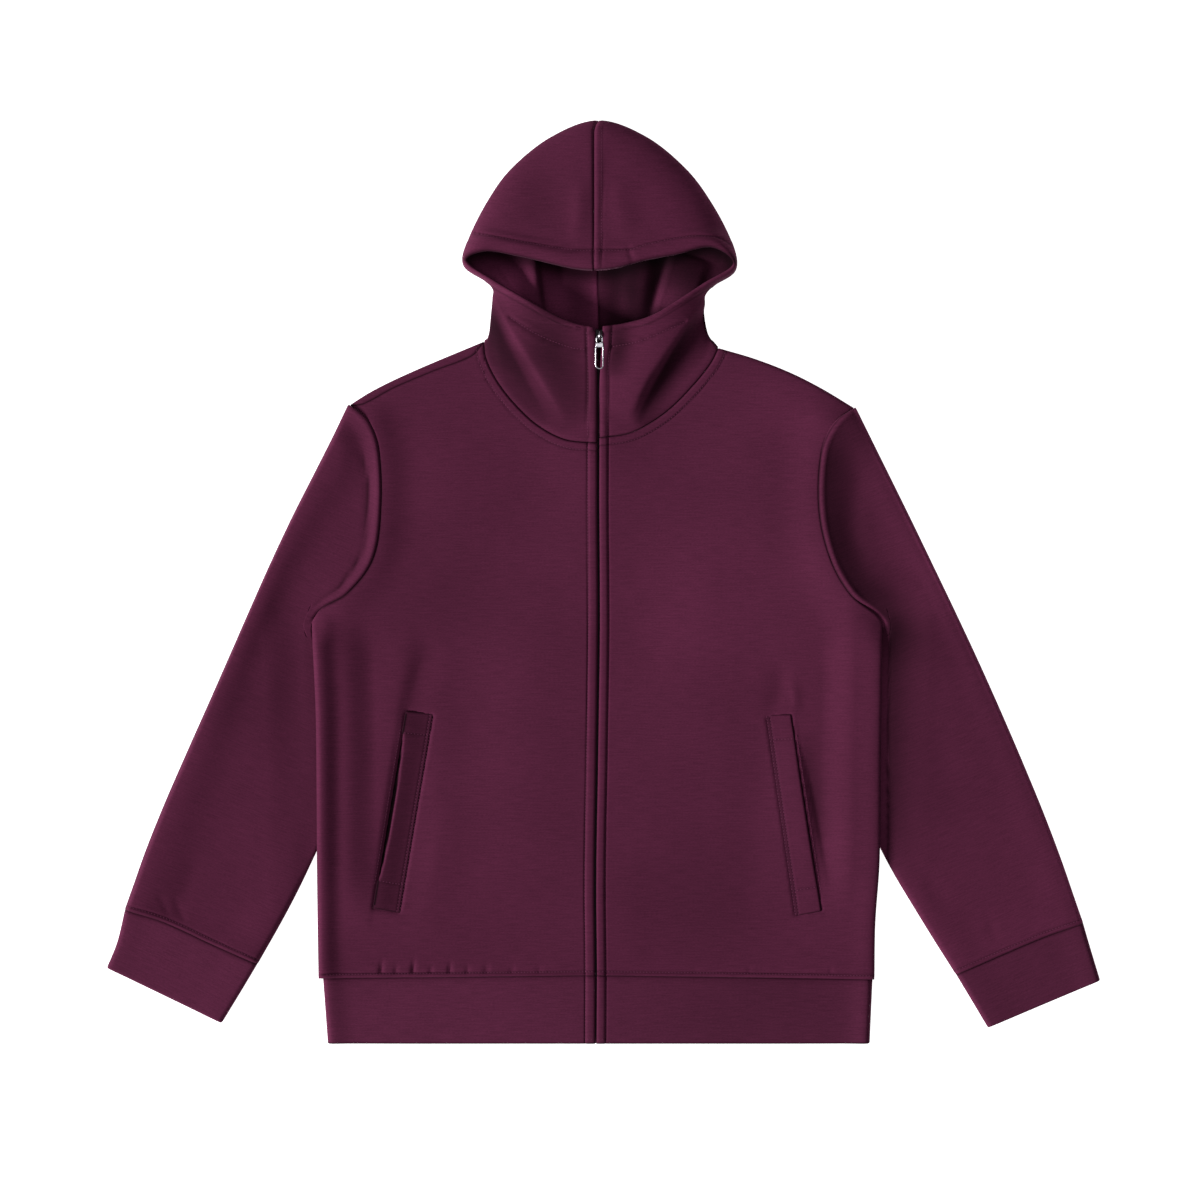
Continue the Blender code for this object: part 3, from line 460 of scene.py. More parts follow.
def knitMaterial(name, colour, bumpStrength=1.0, flecked=1.0, sheen=knit["sheen"], grained=True):
    # cloth takes the knit along its own grain, a part without a grain by its place
    material, tree, shader = newMaterial(name)
    if grained:
        vector = addNode(tree, "ShaderNodeUVMap", uv_map="grain").outputs[0]
    else:
        vector = addNode(tree, "ShaderNodeTexCoord").outputs["Object"]
    # the painted shading kept on the cloth's points
    paintedShading = addNode(tree, "ShaderNodeAttribute", attribute_name="paintedShading").outputs["Fac"]
    surface = addNode(tree, "ShaderNodeGroup", {
        "Vector": vector, "Depth": paintedShading, "Colour": (*colour, 1.0), "Streak": knit["streak"],
        "Fleck": knit["fleck"] * flecked, "Mottle": knit["mottle"], "Roughness": knit["roughness"],
    }, node_tree=knitGroup)
    relief = addNode(tree, "ShaderNodeBump", {"Strength": knit["bump"] * bumpStrength,
                                              "Distance": knit["bumpDepth"],
                                              "Height": surface.outputs["Height"]})
    setInputs(tree, shader, {
        "Base Color": surface.outputs["Colour"], "Roughness": surface.outputs["Roughness"],
        "Normal": relief.outputs[0], "Specular IOR Level": knit["specular"], "Sheen Weight": sheen,
        "Sheen Roughness": knit["sheenRoughness"], "Sheen Tint": knit["sheenTint"],
    })
    return material


bodyKnit = knitMaterial("bodyKnit", knit["body"])
bandKnit = knitMaterial("bandKnit", knit["bands"], 1.2)
# the inner face's knit, painted lighter as painted light inside the hood, without sheen
paintedLightInsideKnit = knitMaterial("paintedLightInsideKnit", knit["inside"], flecked=1.4, sheen=0.0)

# Front panels -------
front = {
    "placket": {"right": 10.5, "left": 9.6},     # stitching beside the zip
    # how it leans out toward the collar's top, and between which heights
    "placketLean": {"right": 1.6, "left": 3.6}, "leanRows": (672.0, 714.0),
    # its band: rise and roundness, then the depths and widths of its ditch and its edge at the zip
    "placketRise": 1.1, "placketRound": 0.4, "placketDitch": (0.9, 0.9), "placketEdge": (0.4, 1.0),
    "hemStitch": 3.6, "neckStitch": 7.4,
    "neckRun": 128.0, "shoulderRun": 150.0, "zipRun": 17.5,
    "welt": {                                    # corners: top outer, top inner, low outer, low inner
        "right": ((192.0, 331.5), (165.6, 329.0), (224.5, 136.0), (198.8, 131.0)),
        "left": ((192.0, 328.5), (168.5, 328.0), (222.3, 133.0), (197.5, 128.0)),
    },
    # how deep the front sinks under the welts, and over which shares across and down them that fades
    "weltSink": {"right": 2.2, "left": 1.5},
    "weltAcross": ((-0.09, 0.02), (1.10, 0.99)), "weltDown": ((-0.012, 0.003), (1.012, 0.997)),
    # painted light and shade patches: across, up, reach and depth
    "paintedShadePatches": {"right": ((-148.0, 443.0, 60.0, 0.12),),
              "left": ((121.0, 443.0, 75.0, -0.24), (101.0, 143.0, 60.0, 0.2), (181.0, 643.0, 40.0, -0.15))},
    # painted shade on the cloth beside the left welt's mouth
    "shade": {"right": (), "left": ((((203.0, 312.0), (209.0, 270.0), (218.0, 200.0)), 0.4, 14.0, 1.0),)},
    # what stands up along the edges: the rolled sides (rise, place, width on their inside and outside),
    # the armhole's seam, the hem and the zip (rise and width)
    "sideRise": {"right": (4.5, 5.0, 6.0, 12.5), "left": (1.3, 5.0, 6.0, 13.0)},
    "roll": {"right": (3.4, 4.5), "left": (1.9, 2.0)}, "shoulderRoll": (1.4, 5.0),
    "armRise": {"right": (4.0, 20.0), "left": (4.6, 26.0)},
    "hemRise": (1.3, 24.0), "zipRise": (1.5, 42.0), "zipRiseFrom": (180.0, 380.0),
    # the gaps over which those grow from a neighbouring edge
    "growSide": (-4.0, 40.0), "growArm": (-4.0, 30.0), "growShoulder": (-4.0, 30.0),
    "armLip": 1.2, "lipRun": 5.0,
    # fore side shoulder seam, nearer the neck first, with its depth and width
    "shoulderSeam": ((-116.5, 698.5), (-126.0, 687.3), (-164.0, 672.2), (-204.0, 655.2), (-233.5, 639.4),
                     (-247.0, 637.0)),
    "shoulderDitch": (0.9, 1.1),
    # gathers over the hem: across, reach up and depth
    "puckerLean": 0.12, "puckerWidth": 2.0, "puckerFrom": (2.0, 6.0), "puckerFull": 4.0,
    "puckers": {"right": ((-218.0, 21.0, 1.9), (-203.0, 15.0, 1.4), (-186.0, 22.0, 2.1), (-168.0, 14.0, 1.4),
                          (-149.0, 19.0, 1.8), (-131.0, 14.0, 1.3), (-112.0, 17.0, 1.6), (-86.0, 13.0, 1.3),
                          (-58.0, 14.0, 1.2)),
                "left": ((96.0, 11.0, 0.6), (150.0, 13.0, 0.7), (231.0, 12.0, 0.8))},
    "folds": {
        "right": (
            (((-262.0, 60.0), (-261.0, 240.0), (-258.0, 430.0)), -1.2, 12.0, 10.0),
            (((-232.0, 110.0), (-216.0, 232.0), (-198.0, 350.0)), 1.3, 17.0, 3.0),
            (((-205.0, 128.0), (-186.0, 232.0), (-172.0, 338.0)), -1.6, 20.0, 16.0),
            (((-192.0, 318.0), (-184.0, 352.0), (-166.0, 404.0)), -1.7, 10.0, 16.0),
            (((-208.0, 300.0), (-200.0, 350.0), (-190.0, 420.0)), 1.6, 22.0, 14.0),
            (((-180.0, 100.0), (-160.0, 180.0), (-152.0, 250.0)), 1.2, 13.0, 24.0),
            # broad unevenness of the lying cloth
            (((-60.0, 120.0), (-70.0, 300.0), (-60.0, 520.0)), 2.2, 52.0, 46.0),
            (((-200.0, 610.0), (-150.0, 560.0), (-120.0, 470.0)), 1.6, 50.0, 44.0),
            (((-130.0, 420.0), (-128.0, 330.0), (-140.0, 220.0)), -1.6, 40.0, 34.0),
        ),
        "left": (
            (((222.0, 120.0), (208.0, 225.0), (190.0, 340.0)), 2.2, 18.0, 3.0),
            (((233.0, 150.0), (218.0, 230.0), (202.0, 306.0)), -1.5, 3.0, 14.0),
            (((170.0, 322.0), (180.0, 350.0), (184.0, 384.0)), -1.2, 12.0, 9.0),
            (((193.0, 326.0), (196.0, 344.0), (192.0, 362.0)), 0.8, 3.0, 6.0),
            (((150.0, 120.0), (158.0, 230.0), (170.0, 330.0)), -1.2, 26.0, 20.0),
            (((110.0, 560.0), (96.0, 420.0), (104.0, 260.0)), 2.6, 46.0, 62.0),
            (((150.0, 640.0), (166.0, 560.0), (158.0, 470.0)), 1.5, 30.0, 46.0),
            (((60.0, 200.0), (66.0, 130.0), (60.0, 70.0)), -1.3, 44.0, 34.0),
        ),
    },
}
welt = {
    "wide": 25.0, "tall": 199.0,
    "bars": {"right": (0.107, 0.862), "left": (0.122, 0.878)},   # cross stitching, as shares down the welt
    "slit": {"right": 3.9, "left": 0.9}, "sunk": {"right": 0.9, "left": 0.3},   # how its opening gapes
    "gapeLean": 1.1, "gapeRound": 0.48, "shut": 0.4, "gapeRun": (0.5, -0.3), "gapeEnds": (0.002, 0.006),
    "rise": 0.1, "margin": 0.8, "stitch": 2.6, "grid": (0.9, 1.8),
    # how it leans in toward its seam, then the ditches of its stitching and what rolls under
    "lean": {"right": 1.5, "left": 0.2}, "leanFrom": (2.0, 22.0), "leanMiddle": 0.25,
    "barDitch": (0.35, 0.0, 1.0), "stitchDitch": (0.5, 2.6, 0.8),
    "mouthRoll": (0.5, 2.0), "edgeRoll": (0.9, 1.6),
    # painted shade over the welt beside its mouth, and painted shade filling its gaping mouth
    "shade": {"right": 0.3, "left": 0.06}, "shadeFrom": (0.6, 2.5), "gapePaintedShade": 0.95,
}

# the armhole seam's painted line of shade: its width and darkness by the rows, where it starts and ends; its
# rows also set the sleeve's valley
armLine = {"rows": (575.0, 622.0), "width": (1.5, 0.8), "dark": (0.85, 0.5),
           "start": (426.0, 440.0), "end": (650.0, 632.0)}


def reachAt(lines, side, up):
    # how far across a seam lies, by the height up it
    return np.interp(up, lines[side][:, 1], np.abs(lines[side][:, 0]))


def tuckLift(points):
    across, up = np.abs(points[..., 0]), points[..., 1]
    reach = np.where(points[..., 0] > 0, reachAt(sideSeams, "left", up), reachAt(sideSeams, "right", up))
    start, full, fullEnd, end = body["tuckRows"]
    rows = between(up, (start, full), (end, fullEnd))
    return body["tuckLift"] * rows * ramp(reach - across, body["tuckEnd"], body["tuckFull"])


def layHeight(plan, fold):
    # the front's middle surface as it lies, from its folded sides in and with its rise to the neck
    height = body["edge"] + (body["front"] - body["edge"]) * rounding(fold, body["edgeRun"])
    neck = np.hypot(plan[..., 0], plan[..., 1] - body["neckUp"])
    return height + body["neckRise"] * ramp(neck, body["neckRun"], body["neckFlat"])


def weltCorners(side):
    return [np.array((sides[side] * across, up)) for across, up in front["welt"][side]]


def weltPlace(side, points):
    # where points lie on a welt: 0 to 1 from its outer edge in, 0 to 1 from its top down
    topOut, topIn, lowOut, lowIn = weltCorners(side)
    down = ((points - topOut) @ (lowOut - topOut)) / ((lowOut - topOut) @ (lowOut - topOut))
    outer = topOut + down[..., None] * (lowOut - topOut)
    inner = topIn + down[..., None] * (lowIn - topIn)
    inward = ((points - outer) * (inner - outer)).sum(-1) / ((inner - outer) ** 2).sum(-1)
    return inward, down


def weltGape(side, down):
    # how far the pocket's opening gapes, by the share down the welt
    first, last = welt["bars"][side]
    share = np.clip((down - first) / (last - first), 0, 1)
    gape = np.sin(math.pi * share ** welt["gapeLean"]) ** welt["gapeRound"]
    return gape * welt["slit"][side] - welt["shut"] * ((share <= 0) | (share >= 1))


def hemWave(across):
    return np.interp(across, hem["waveAcross"], hem["wave"])


def hemLine(side, up):
    across = np.linspace(0.0, 276.0, 60) * sides[side]
    return np.stack((across, body["panelBottom"] + hemWave(across) + up), axis=1)


def upright(across, low, high):
    return np.array(((across, low), (across, high)))


def placketReach(side, up):
    return front["placket"][side] + ramp(up, *front["leanRows"]) * front["placketLean"][side]


def plackets(zipGap, stitched):
    # the zip's facing makes a low rounded band out to its stitching
    share = np.clip(zipGap / (stitched - body["zipGap"]), 0, 1)
    (ditch, width), (edge, run) = front["placketDitch"], front["placketEdge"]
    band = front["placketRise"] * np.sin(math.pi * share) ** front["placketRound"]
    return band - ditch * bump(zipGap + body["zipGap"] - stitched, width) - edge * (1 - rounding(zipGap, run))


def frontHeight(side, points, welt=True):
    sideGap, shoulderGap, armGap, neckGap = (gapTo(points, line[side]) for line in
                                             (sideSeams, shoulders, armholes, neckSeams))
    fold = np.minimum(sideGap, shoulderGap)
    zipGap = np.abs(points[..., 0]) - body["zipGap"]
    hemGap = points[..., 1] - body["panelBottom"]
    height = layHeight(points, fold) + tuckLift(points)
    height += crest(sideGap, *front["sideRise"][side]) * ramp(armGap, *front["growArm"])
    for (rise, width), gap, grown in (
            (front["armRise"][side], armGap,
             ramp(sideGap, *front["growSide"]) * ramp(shoulderGap, *front["growShoulder"])),
            (front["hemRise"], hemGap, 1.0),
            (front["zipRise"], zipGap, ramp(hemGap, *front["zipRiseFrom"]))):
        height += rise * bump(gap, width) * grown
    for (deep, run), gap in ((front["roll"][side], sideGap), (front["shoulderRoll"], shoulderGap)):
        height -= deep * (1 - rounding(gap, run))
    height += sewnEdge(hemGap, front["hemStitch"]) + sewnEdge(neckGap, front["neckStitch"])
    height += sewnEdge(armGap, None, front["armLip"]) * rounding(fold, front["lipRun"])
    height += plackets(zipGap, front["placket"][side]) + folded(points, front["folds"][side])
    for across, reach, deep in front["puckers"][side]:
        fade = between(hemGap, front["puckerFrom"], (reach, front["puckerFull"]))
        beside = points[..., 0] - across - front["puckerLean"] * hemGap
        height -= deep * fade * bump(beside, front["puckerWidth"])
    if side == "right":
        deep, width = front["shoulderDitch"]
        height -= deep * bump(gapTo(points, smoothPath(front["shoulderSeam"])), width)
    if welt:
        inward, down = weltPlace(side, points)
        under = between(inward, *front["weltAcross"]) * between(down, *front["weltDown"])
        height -= front["weltSink"][side] * under
    return height


def armSeamPaintedShade(side, rows):
    # painted shade draws the armhole's seam as a fine dark line, hidden in the folds at its two ends
    up = rows[..., 1]
    width, dark = (np.interp(up, armLine["rows"], armLine[name]) for name in ("width", "dark"))
    return dark * bump(gapTo(rows, armholes[side]), width) * between(up, armLine["start"], armLine["end"])


def frontPaintedShading(side, rows):
    # painted shade along seams and stitching, each with its half width and depth
    sign, stitched = sides[side], front["placket"][side]
    lines = [(neckSeams[side], 0.9, 0.45), (sideSeams[side], 0.8, 0.35),
             (movedAside(neckSeams[side], -sign * front["neckStitch"]), 0.9, 0.5),
             (hemLine(side, -0.3), 0.8, 0.55), (hemLine(side, front["hemStitch"] + 0.3), 0.9, 0.5),
             (upright(sign * body["zipGap"], 60.0, 612.0), 0.4, 0.7),
             (upright(sign * stitched, 60.0, 600.0), 0.7, 0.6)]
    if side == "right":
        lines.append((smoothPath(front["shoulderSeam"]), 1.1, 0.85))
    return overlaid(paintedLineShade(rows, lines), armSeamPaintedShade(side, rows), shaded(rows, front["shade"][side]),
                    paintedPatchShade(rows, front["paintedShadePatches"][side]))


def frontRows(side):
    neck, shoulder = neckSeams[side], shoulders[side]
    low, high = sideSeams[side], armholes[side]
    split, rise = body["neckShare"], body["underarmShare"]
    zipSteps = tuple(np.arange(0, front["zipRun"], cloth["zipGrid"]))
    columns = shares(front["neckRun"], cloth["grid"], zipSteps, (0.0, 1.5))
    outer = shares(front["shoulderRun"], 2.0, (0.0, 1.5), edgeSteps)
    lowRows = shares(body["sideRun"], 2.5, edgeSteps[:9])
    highRows = shares(body["armRun"], cloth["grid"], (0.0,), stitchSteps)
    us = np.concatenate((split * columns, split + (1 - split) * outer[1:]))
    vs = np.concatenate((rise * lowRows, rise + (1 - rise) * highRows[1:]))
    top = np.vstack((sampled(neck, columns), sampled(shoulder, outer)[1:]))
    end = np.vstack((sampled(low, lowRows), sampled(high, highRows)[1:]))
    corner = np.array((top[0][0], body["panelBottom"]))
    grid = patch(straight(corner, end[0], us), top, straight(corner, top[0], vs), end, us, vs, hold=3)
    grid[..., 1] += hemWave(grid[..., 0]) * ramp(grid[..., 1], 110.0, body["panelBottom"])
    return np.dstack((grid, frontHeight(side, grid)))


def sewnWeights(distances):
    return rounding(np.minimum.reduce(distances), cloth["edgeRun"])


def gridEdges(rows):
    # distances from a grid's four sides, measured along its own rows and columns
    across = np.linalg.norm(np.diff(rows[..., :2], axis=1), axis=2)
    along = np.linalg.norm(np.diff(rows[..., :2], axis=0), axis=2)
    fromStart = np.concatenate((np.zeros((len(rows), 1)), np.cumsum(across, axis=1)), axis=1)
    fromLow = np.concatenate((np.zeros((1, rows.shape[1])), np.cumsum(along, axis=0)), axis=0)
    return fromLow, fromLow[-1:] - fromLow, fromStart, fromStart[:, -1:] - fromStart


for side in sides:
    rows = frontRows(side)
    piece = clothPiece(f"cloth_front_{side}", rows, cloth["wall"], sewnWeights(gridEdges(rows)),
                       rows[..., :2], frontPaintedShading(side, rows), turned=side == "right")
    finishPiece(piece, f"front_{side}", bodyKnit)
    print("front", side, rows.shape)

# Back panel -------
back = {"grid": 5.0, "neckRun": 120.0, "shoulderRun": 160.0, "edgeSteps": edgeSteps[:6],
        "edgeRise": (0.7, 3.0)}


def backRows():
    split, rise, steps = body["backNeckShare"], body["underarmShare"], back["edgeSteps"]
    neckShares = shares(back["neckRun"], back["grid"])
    shoulderShares, highRows = (shares(run, back["grid"], (0.0,), steps) for run in
                                (back["shoulderRun"], body["armRun"]))
    lowRows = shares(body["sideRun"], back["grid"], steps)
    half = np.concatenate((split * neckShares, split + (0.5 - split) * shoulderShares[1:]))
    us = np.concatenate((0.5 - half[::-1], 0.5 + half[1:]))
    vs = np.concatenate((rise * lowRows, rise + (1 - rise) * highRows[1:]))
    tops = [np.vstack((sampled(backNecks[side], neckShares), sampled(shoulders[side], shoulderShares)[1:]))
            for side in sides]
    start, end = (np.vstack((sampled(sideSeams[side], lowRows), sampled(armholes[side], highRows)[1:]))
                  for side in sides)
    top = np.vstack((tops[0][::-1], tops[1][1:]))
    grid = patch(straight(start[0], end[0], us), top, start, end, us, vs, hold=3)
    fold = np.minimum(*(np.minimum(gapTo(grid, sideSeams[side]), gapTo(grid, shoulders[side]))
                        for side in sides))
    deep, run = back["edgeRise"]
    return np.dstack((grid, body["floor"] + tuckLift(grid) + deep * (1 - rounding(fold, run))))


rows = backRows()
piece = clothPiece("cloth_back", rows, cloth["wall"], sewnWeights(gridEdges(rows)), rows[..., :2],
                   np.zeros(rows.shape[:2]), turned=True)
finishPiece(piece, "back", bodyKnit)
print("back", rows.shape)

# Sleeves and cuffs -------
sleeve = {
    "high": 3.9, "puff": 2.1, "puffRun": 32.0, "puffClear": (12.0, 50.0), "fold": 3.2, "tuck": 1.8,
    "wide": 165.0, "long": 560.0, "edgeRun": 5.0,
    # how the folded edges stand up over the middle: rise, place, width on their outside and inside, and
    # the gaps to the body and the armhole over which that grows
    "outerRise": {"right": (5.4, 5.0, 4.0, 36.0), "left": (1.4, 5.0, 4.0, 20.0)},
    "innerRise": {"right": (2.0, 5.0, 4.0, 24.0), "left": (1.4, 5.0, 4.0, 20.0)},
    "growSide": (2.0, 30.0), "growArm": (0.0, 40.0),
    # the armhole's roll: its rise and, by the height up the armhole, its width
    "armRise": {"right": 3.3, "left": 5.5},
    "rollUps": (421.0, 432.0, 441.0, 450.0, 473.0, 560.0, 606.0, 638.0),
    "rollWidth": {"right": (2.2, 2.6, 5.0, 8.0, 12.5, 13.0, 19.0, 22.0),
                  "left": (32.0, 36.0, 39.0, 42.0, 49.0, 54.0, 43.0, 32.0)},
    "rollFlat": {"right": 1.5, "left": 3.0}, "rollRound": 1.7, "rollEdge": 18.0, "rollFrom": (426.0, 450.0),
    # a ditch beyond the roll and a ridge along the seam: height, place and width
    "ditch": (0.6, 1.2, 1.6), "ditchTo": (610.0, 575.0), "ridge": (0.7, 3.2, 2.2),
    # the seam's own valley at its low and its high end, its run, and how the cloth dives under it
    "valley": (3.0, 0.7), "valleyRun": 3.0, "dive": (0.6, -1.5), "seamFrom": (420.0, 428.0),
    # a swell beside the body: rise, then how far it is full, its width and its run from the folds
    "besideRise": {"right": 0.0, "left": 2.0}, "beside": (12.0, 42.0, 14.0),
    "besideRows": ((436.0, 380.0), (190.0, 300.0)), "cuffRise": (1.2, 14.0),
    # painted shade beyond the armhole's roll: a depth, a place and a width; its rows, and the outer fold's
    # painted highlight
    "ditchShade": (0.6, 1.2, 1.4), "ditchShadeRows": ((440.0, 462.0), (600.0, 570.0)),
    "armShade": (0.62, 5.0, 36.0), "armShadeFrom": (3.0, 6.0), "armShadeTo": (650.0, 570.0),
    "foldLight": (0.9, 2.6, 2.2),
    # painted shade beside the body, a depth and a reach; within the body's own cast shadow painted light
    # makes it lighter
    "sideShade": {"right": (0.12, 16.0), "left": (0.8, 32.0)},
    "sideShadeRows": ((120.0, 260.0), (440.0, 400.0)),
    "shadow": (6.0, 8.2), "shadowLight": 0.5, "shadowRows": ((120.0, 260.0), (428.0, 412.0)),
    # painted light and shade patches: across, up, reach and depth
    "paintedShadePatches": {"right": ((-348.0, 343.0, 50.0, 0.12),),
              "left": ((381.0, 250.0, 60.0, 0.06), (322.0, 446.0, 36.0, -0.12))},
    "rows": (0.0, 0.02, 0.07, 0.14, 0.22, 0.31, 0.4, 0.5, 0.6, 0.7, 0.8, 0.89, 0.96, 1.0),
    "columns": 10,
    "outer": ((249.5, 638.6, 256.5, 635.6), (267.5, 601.0, 273.5, 601.0), (315.5, 505.0, 320.5, 505.0),
              (379.5, 361.0, 388.5, 361.0), (442.5, 217.0, 449.5, 217.0), (472.7, 133.9, 483.8, 120.1)),
    "inner": ((288.6, 420.5, 285.6, 420.5), (284.6, 400.0, 282.0, 400.0), (281.0, 379.0, 279.6, 379.0),
              (270.0, 345.0, 270.0, 345.0), (263.0, 300.0, 263.0, 300.0), (267.0, 235.0, 267.0, 235.0),
              (286.5, 183.0, 288.4, 183.0), (310.5, 134.0, 332.0, 109.5), (341.0, 79.8, 357.5, 69.2)),
    "cuffSeam": ((472.5, 133.6, 483.6, 119.8), (439.6, 123.6, 449.5, 108.0), (412.0, 111.5, 414.5, 93.5),
                 (388.0, 100.0, 381.0, 79.0), (341.5, 79.6, 358.0, 69.0)),
    "stitch": 4.4,
    "folds": {
        "right": (
            (((-306.0, 470.0), (-330.0, 360.0), (-372.0, 236.0)), 1.2, 26.0, 26.0),
            (((-398.0, 190.0), (-414.0, 150.0), (-424.0, 122.0)), -0.6, 9.0, 9.0),
            (((-425.0, 148.0), (-418.0, 134.0), (-412.0, 121.0)), -0.7, 2.6, 2.6),
            (((-440.0, 152.0), (-433.0, 138.0), (-428.0, 126.0)), -0.6, 2.4, 2.4),
        ),
        "left": (
            (((262.0, 585.0), (252.0, 520.0), (266.0, 462.0)), -1.3, 12.0, 12.0),
            (((316.0, 470.0), (352.0, 350.0), (392.0, 232.0)), 1.2, 28.0, 28.0),
            (((310.0, 180.0), (330.0, 158.0), (352.0, 128.0)), -0.6, 12.0, 12.0),
            (((388.0, 132.0), (394.0, 112.0), (398.0, 98.0)), -0.3, 5.0, 5.0),
        ),
    },
}
cuff = {
    "outer": ((471.2, 134.5, 482.3, 120.8), (480.0, 100.0, 490.5, 94.0), (490.5, 75.4, 500.4, 62.8)),
    "inner": ((341.8, 81.4, 358.4, 70.8), (355.0, 58.5, 371.0, 49.0), (377.3, 20.8, 389.9, 16.2)),
    "wide": 146.0, "long": 62.0, "grid": 2.4,
    "puff": 0.5, "puffRun": 26.0, "tuck": 2.0, "tuckRun": 5.0, "pinch": 0.5, "endRoll": (0.5, 3.0),
    "outerRise": (1.2, 4.0, 3.0, 14.0), "innerRise": (1.2, 4.0, 3.0, 20.0),
    # a painted shade level over the whole cuff, painted light below zero
    "paintedShadeLevel": {"right": -0.1, "left": 0.12},
}


def settled(grid, rounds=400):
    # inner points moved until the grid's lines run evenly and none cross
    for _ in range(rounds):
        across, down = (grid[1:-1, 2:] - grid[1:-1, :-2]) / 2, (grid[2:, 1:-1] - grid[:-2, 1:-1]) / 2
        alpha, gamma = ((step ** 2).sum(axis=2, keepdims=True) for step in (down, across))
        beta = (across * down).sum(axis=2, keepdims=True)
        twist = (grid[2:, 2:] - grid[2:, :-2] - grid[:-2, 2:] + grid[:-2, :-2]) / 4
        middle = (alpha * (grid[1:-1, 2:] + grid[1:-1, :-2]) + gamma * (grid[2:, 1:-1] + grid[:-2, 1:-1])
                  - 2 * beta * twist) / (2 * (alpha + gamma))
        grid[1:-1, 1:-1] += 0.7 * (middle - grid[1:-1, 1:-1])
    return grid


def insetFolds(grid, distance):
    run = grid[:, -1] - grid[:, 0]
    step = distance * run / np.linalg.norm(run, axis=1)[:, None]
    grid[:, 0] += step
    grid[:, -1] -= step
    return grid


def tubeRows(grid, us, upper, lower, foldZ):
    # a flattened tube: over the upper layer from its outer fold to its inner one, and back beneath
    width = np.linalg.norm(grid[:, -1] - grid[:, 0], axis=1)[:, None]
    outerGap, innerGap = us[None] * width, (1 - us)[None] * width
    top = np.dstack((grid, upper(grid, outerGap, innerGap)))
    under = grid[:, 1:-1][:, ::-1][:, ::2]
    underEdge = np.minimum(outerGap, innerGap)[:, 1:-1][:, ::-1][:, ::2]
    bottom = np.dstack((under, lower + (foldZ - lower) * (1 - rounding(underEdge, sleeve["fold"]))))
    return np.concatenate((top, bottom), axis=1)


def sleeveGrain(rows, lengthwise):
    # plan places turned so that the second runs down the sleeve
    start, end = np.array(lengthwise)
    along = (end - start) / np.linalg.norm(end - start)
    square = np.array((-along[1], along[0]))
    plan = rows[..., :2] - start
    return np.stack((plan @ square, plan @ along), axis=-1)


def armRoll(side, up, armGap):
    # the armhole's seam stands up like a roll, with a ridge beside the seam
    rise, flat = sleeve["armRise"][side], sleeve["rollFlat"][side]
    width = np.interp(up, sleeve["rollUps"], sleeve["rollWidth"][side])
    if side == "right":
        deep, past, run = sleeve["ditch"]
        roll = rise * ramp(np.abs(armGap), width, flat)
        roll -= deep * bump(armGap - width - past, run) * ramp(up, *sleeve["ditchTo"])
    else:
        roll = rise * (1 - np.clip((armGap - flat) / width, 0, 1)) ** sleeve["rollRound"]
    return roll + ridge(armGap, *sleeve["ridge"])


def armValley(up, armGap, edge):
    # the sleeve dives into the armhole's seam
    low, high = sleeve["valley"]
    deep = low - (low - high) * ramp(up, *armLine["rows"])
    under, run = sleeve["dive"]
    valley = deep * (1 - rounding(armGap, sleeve["valleyRun"])) * rounding(edge, sleeve["edgeRun"])
    return (valley + under * ramp(armGap, 0.0, run)) * ramp(up, *sleeve["seamFrom"])


def besideBody(side, up, clear, edge):
    full, width, run = sleeve["beside"]
    swell = ramp(clear, 0.0, full) * bump(np.maximum(clear - full, 0.0), width) * rounding(edge, run)
    return sleeve["besideRise"][side] * swell * between(up, *sleeve["besideRows"])


def sleeveHeight(side, points, outerGap, innerGap, foldZ):
    up, away, edge = points[..., 1], np.abs(points[..., 0]), np.minimum(outerGap, innerGap)
    inside = (away < reachAt(sideSeams, side, up)) & (up < body["sideSeam"][-1][0])
    clear = np.where(inside, 0.0, gapTo(points, sideSeams[side]))
    tucked = (away < reachAt(armholes, side, up)) & (up > body["armhole"][0][1])
    armGap = np.where(tucked, -1.0, 1.0) * gapTo(points, armholes[side])
    cuffGap = gapTo(points, halfPath(sleeve["cuffSeam"], side))
    loose = rounding(edge, sleeve["puffRun"]) * ramp(clear, *sleeve["puffClear"])
    free = ramp(clear, *sleeve["growSide"]) * ramp(armGap, *sleeve["growArm"])
    height = foldZ + (sleeve["high"] - foldZ) * rounding(edge, sleeve["fold"]) + sleeve["puff"] * loose
    for gap, name in ((outerGap, "outerRise"), (innerGap, "innerRise")):
        height += crest(gap, *sleeve[name][side]) * free
    height += armRoll(side, up, armGap) * rounding(edge, sleeve["rollEdge"]) * ramp(up, *sleeve["rollFrom"])
    height += besideBody(side, up, clear, edge) - armValley(up, armGap, edge)
    rise, width = sleeve["cuffRise"]
    hemmed = rise * bump(cuffGap, width) + sewnEdge(cuffGap, sleeve["stitch"])
    height += hemmed * rounding(edge, sleeve["edgeRun"])
    return height + folded(points, sleeve["folds"][side]) * loose


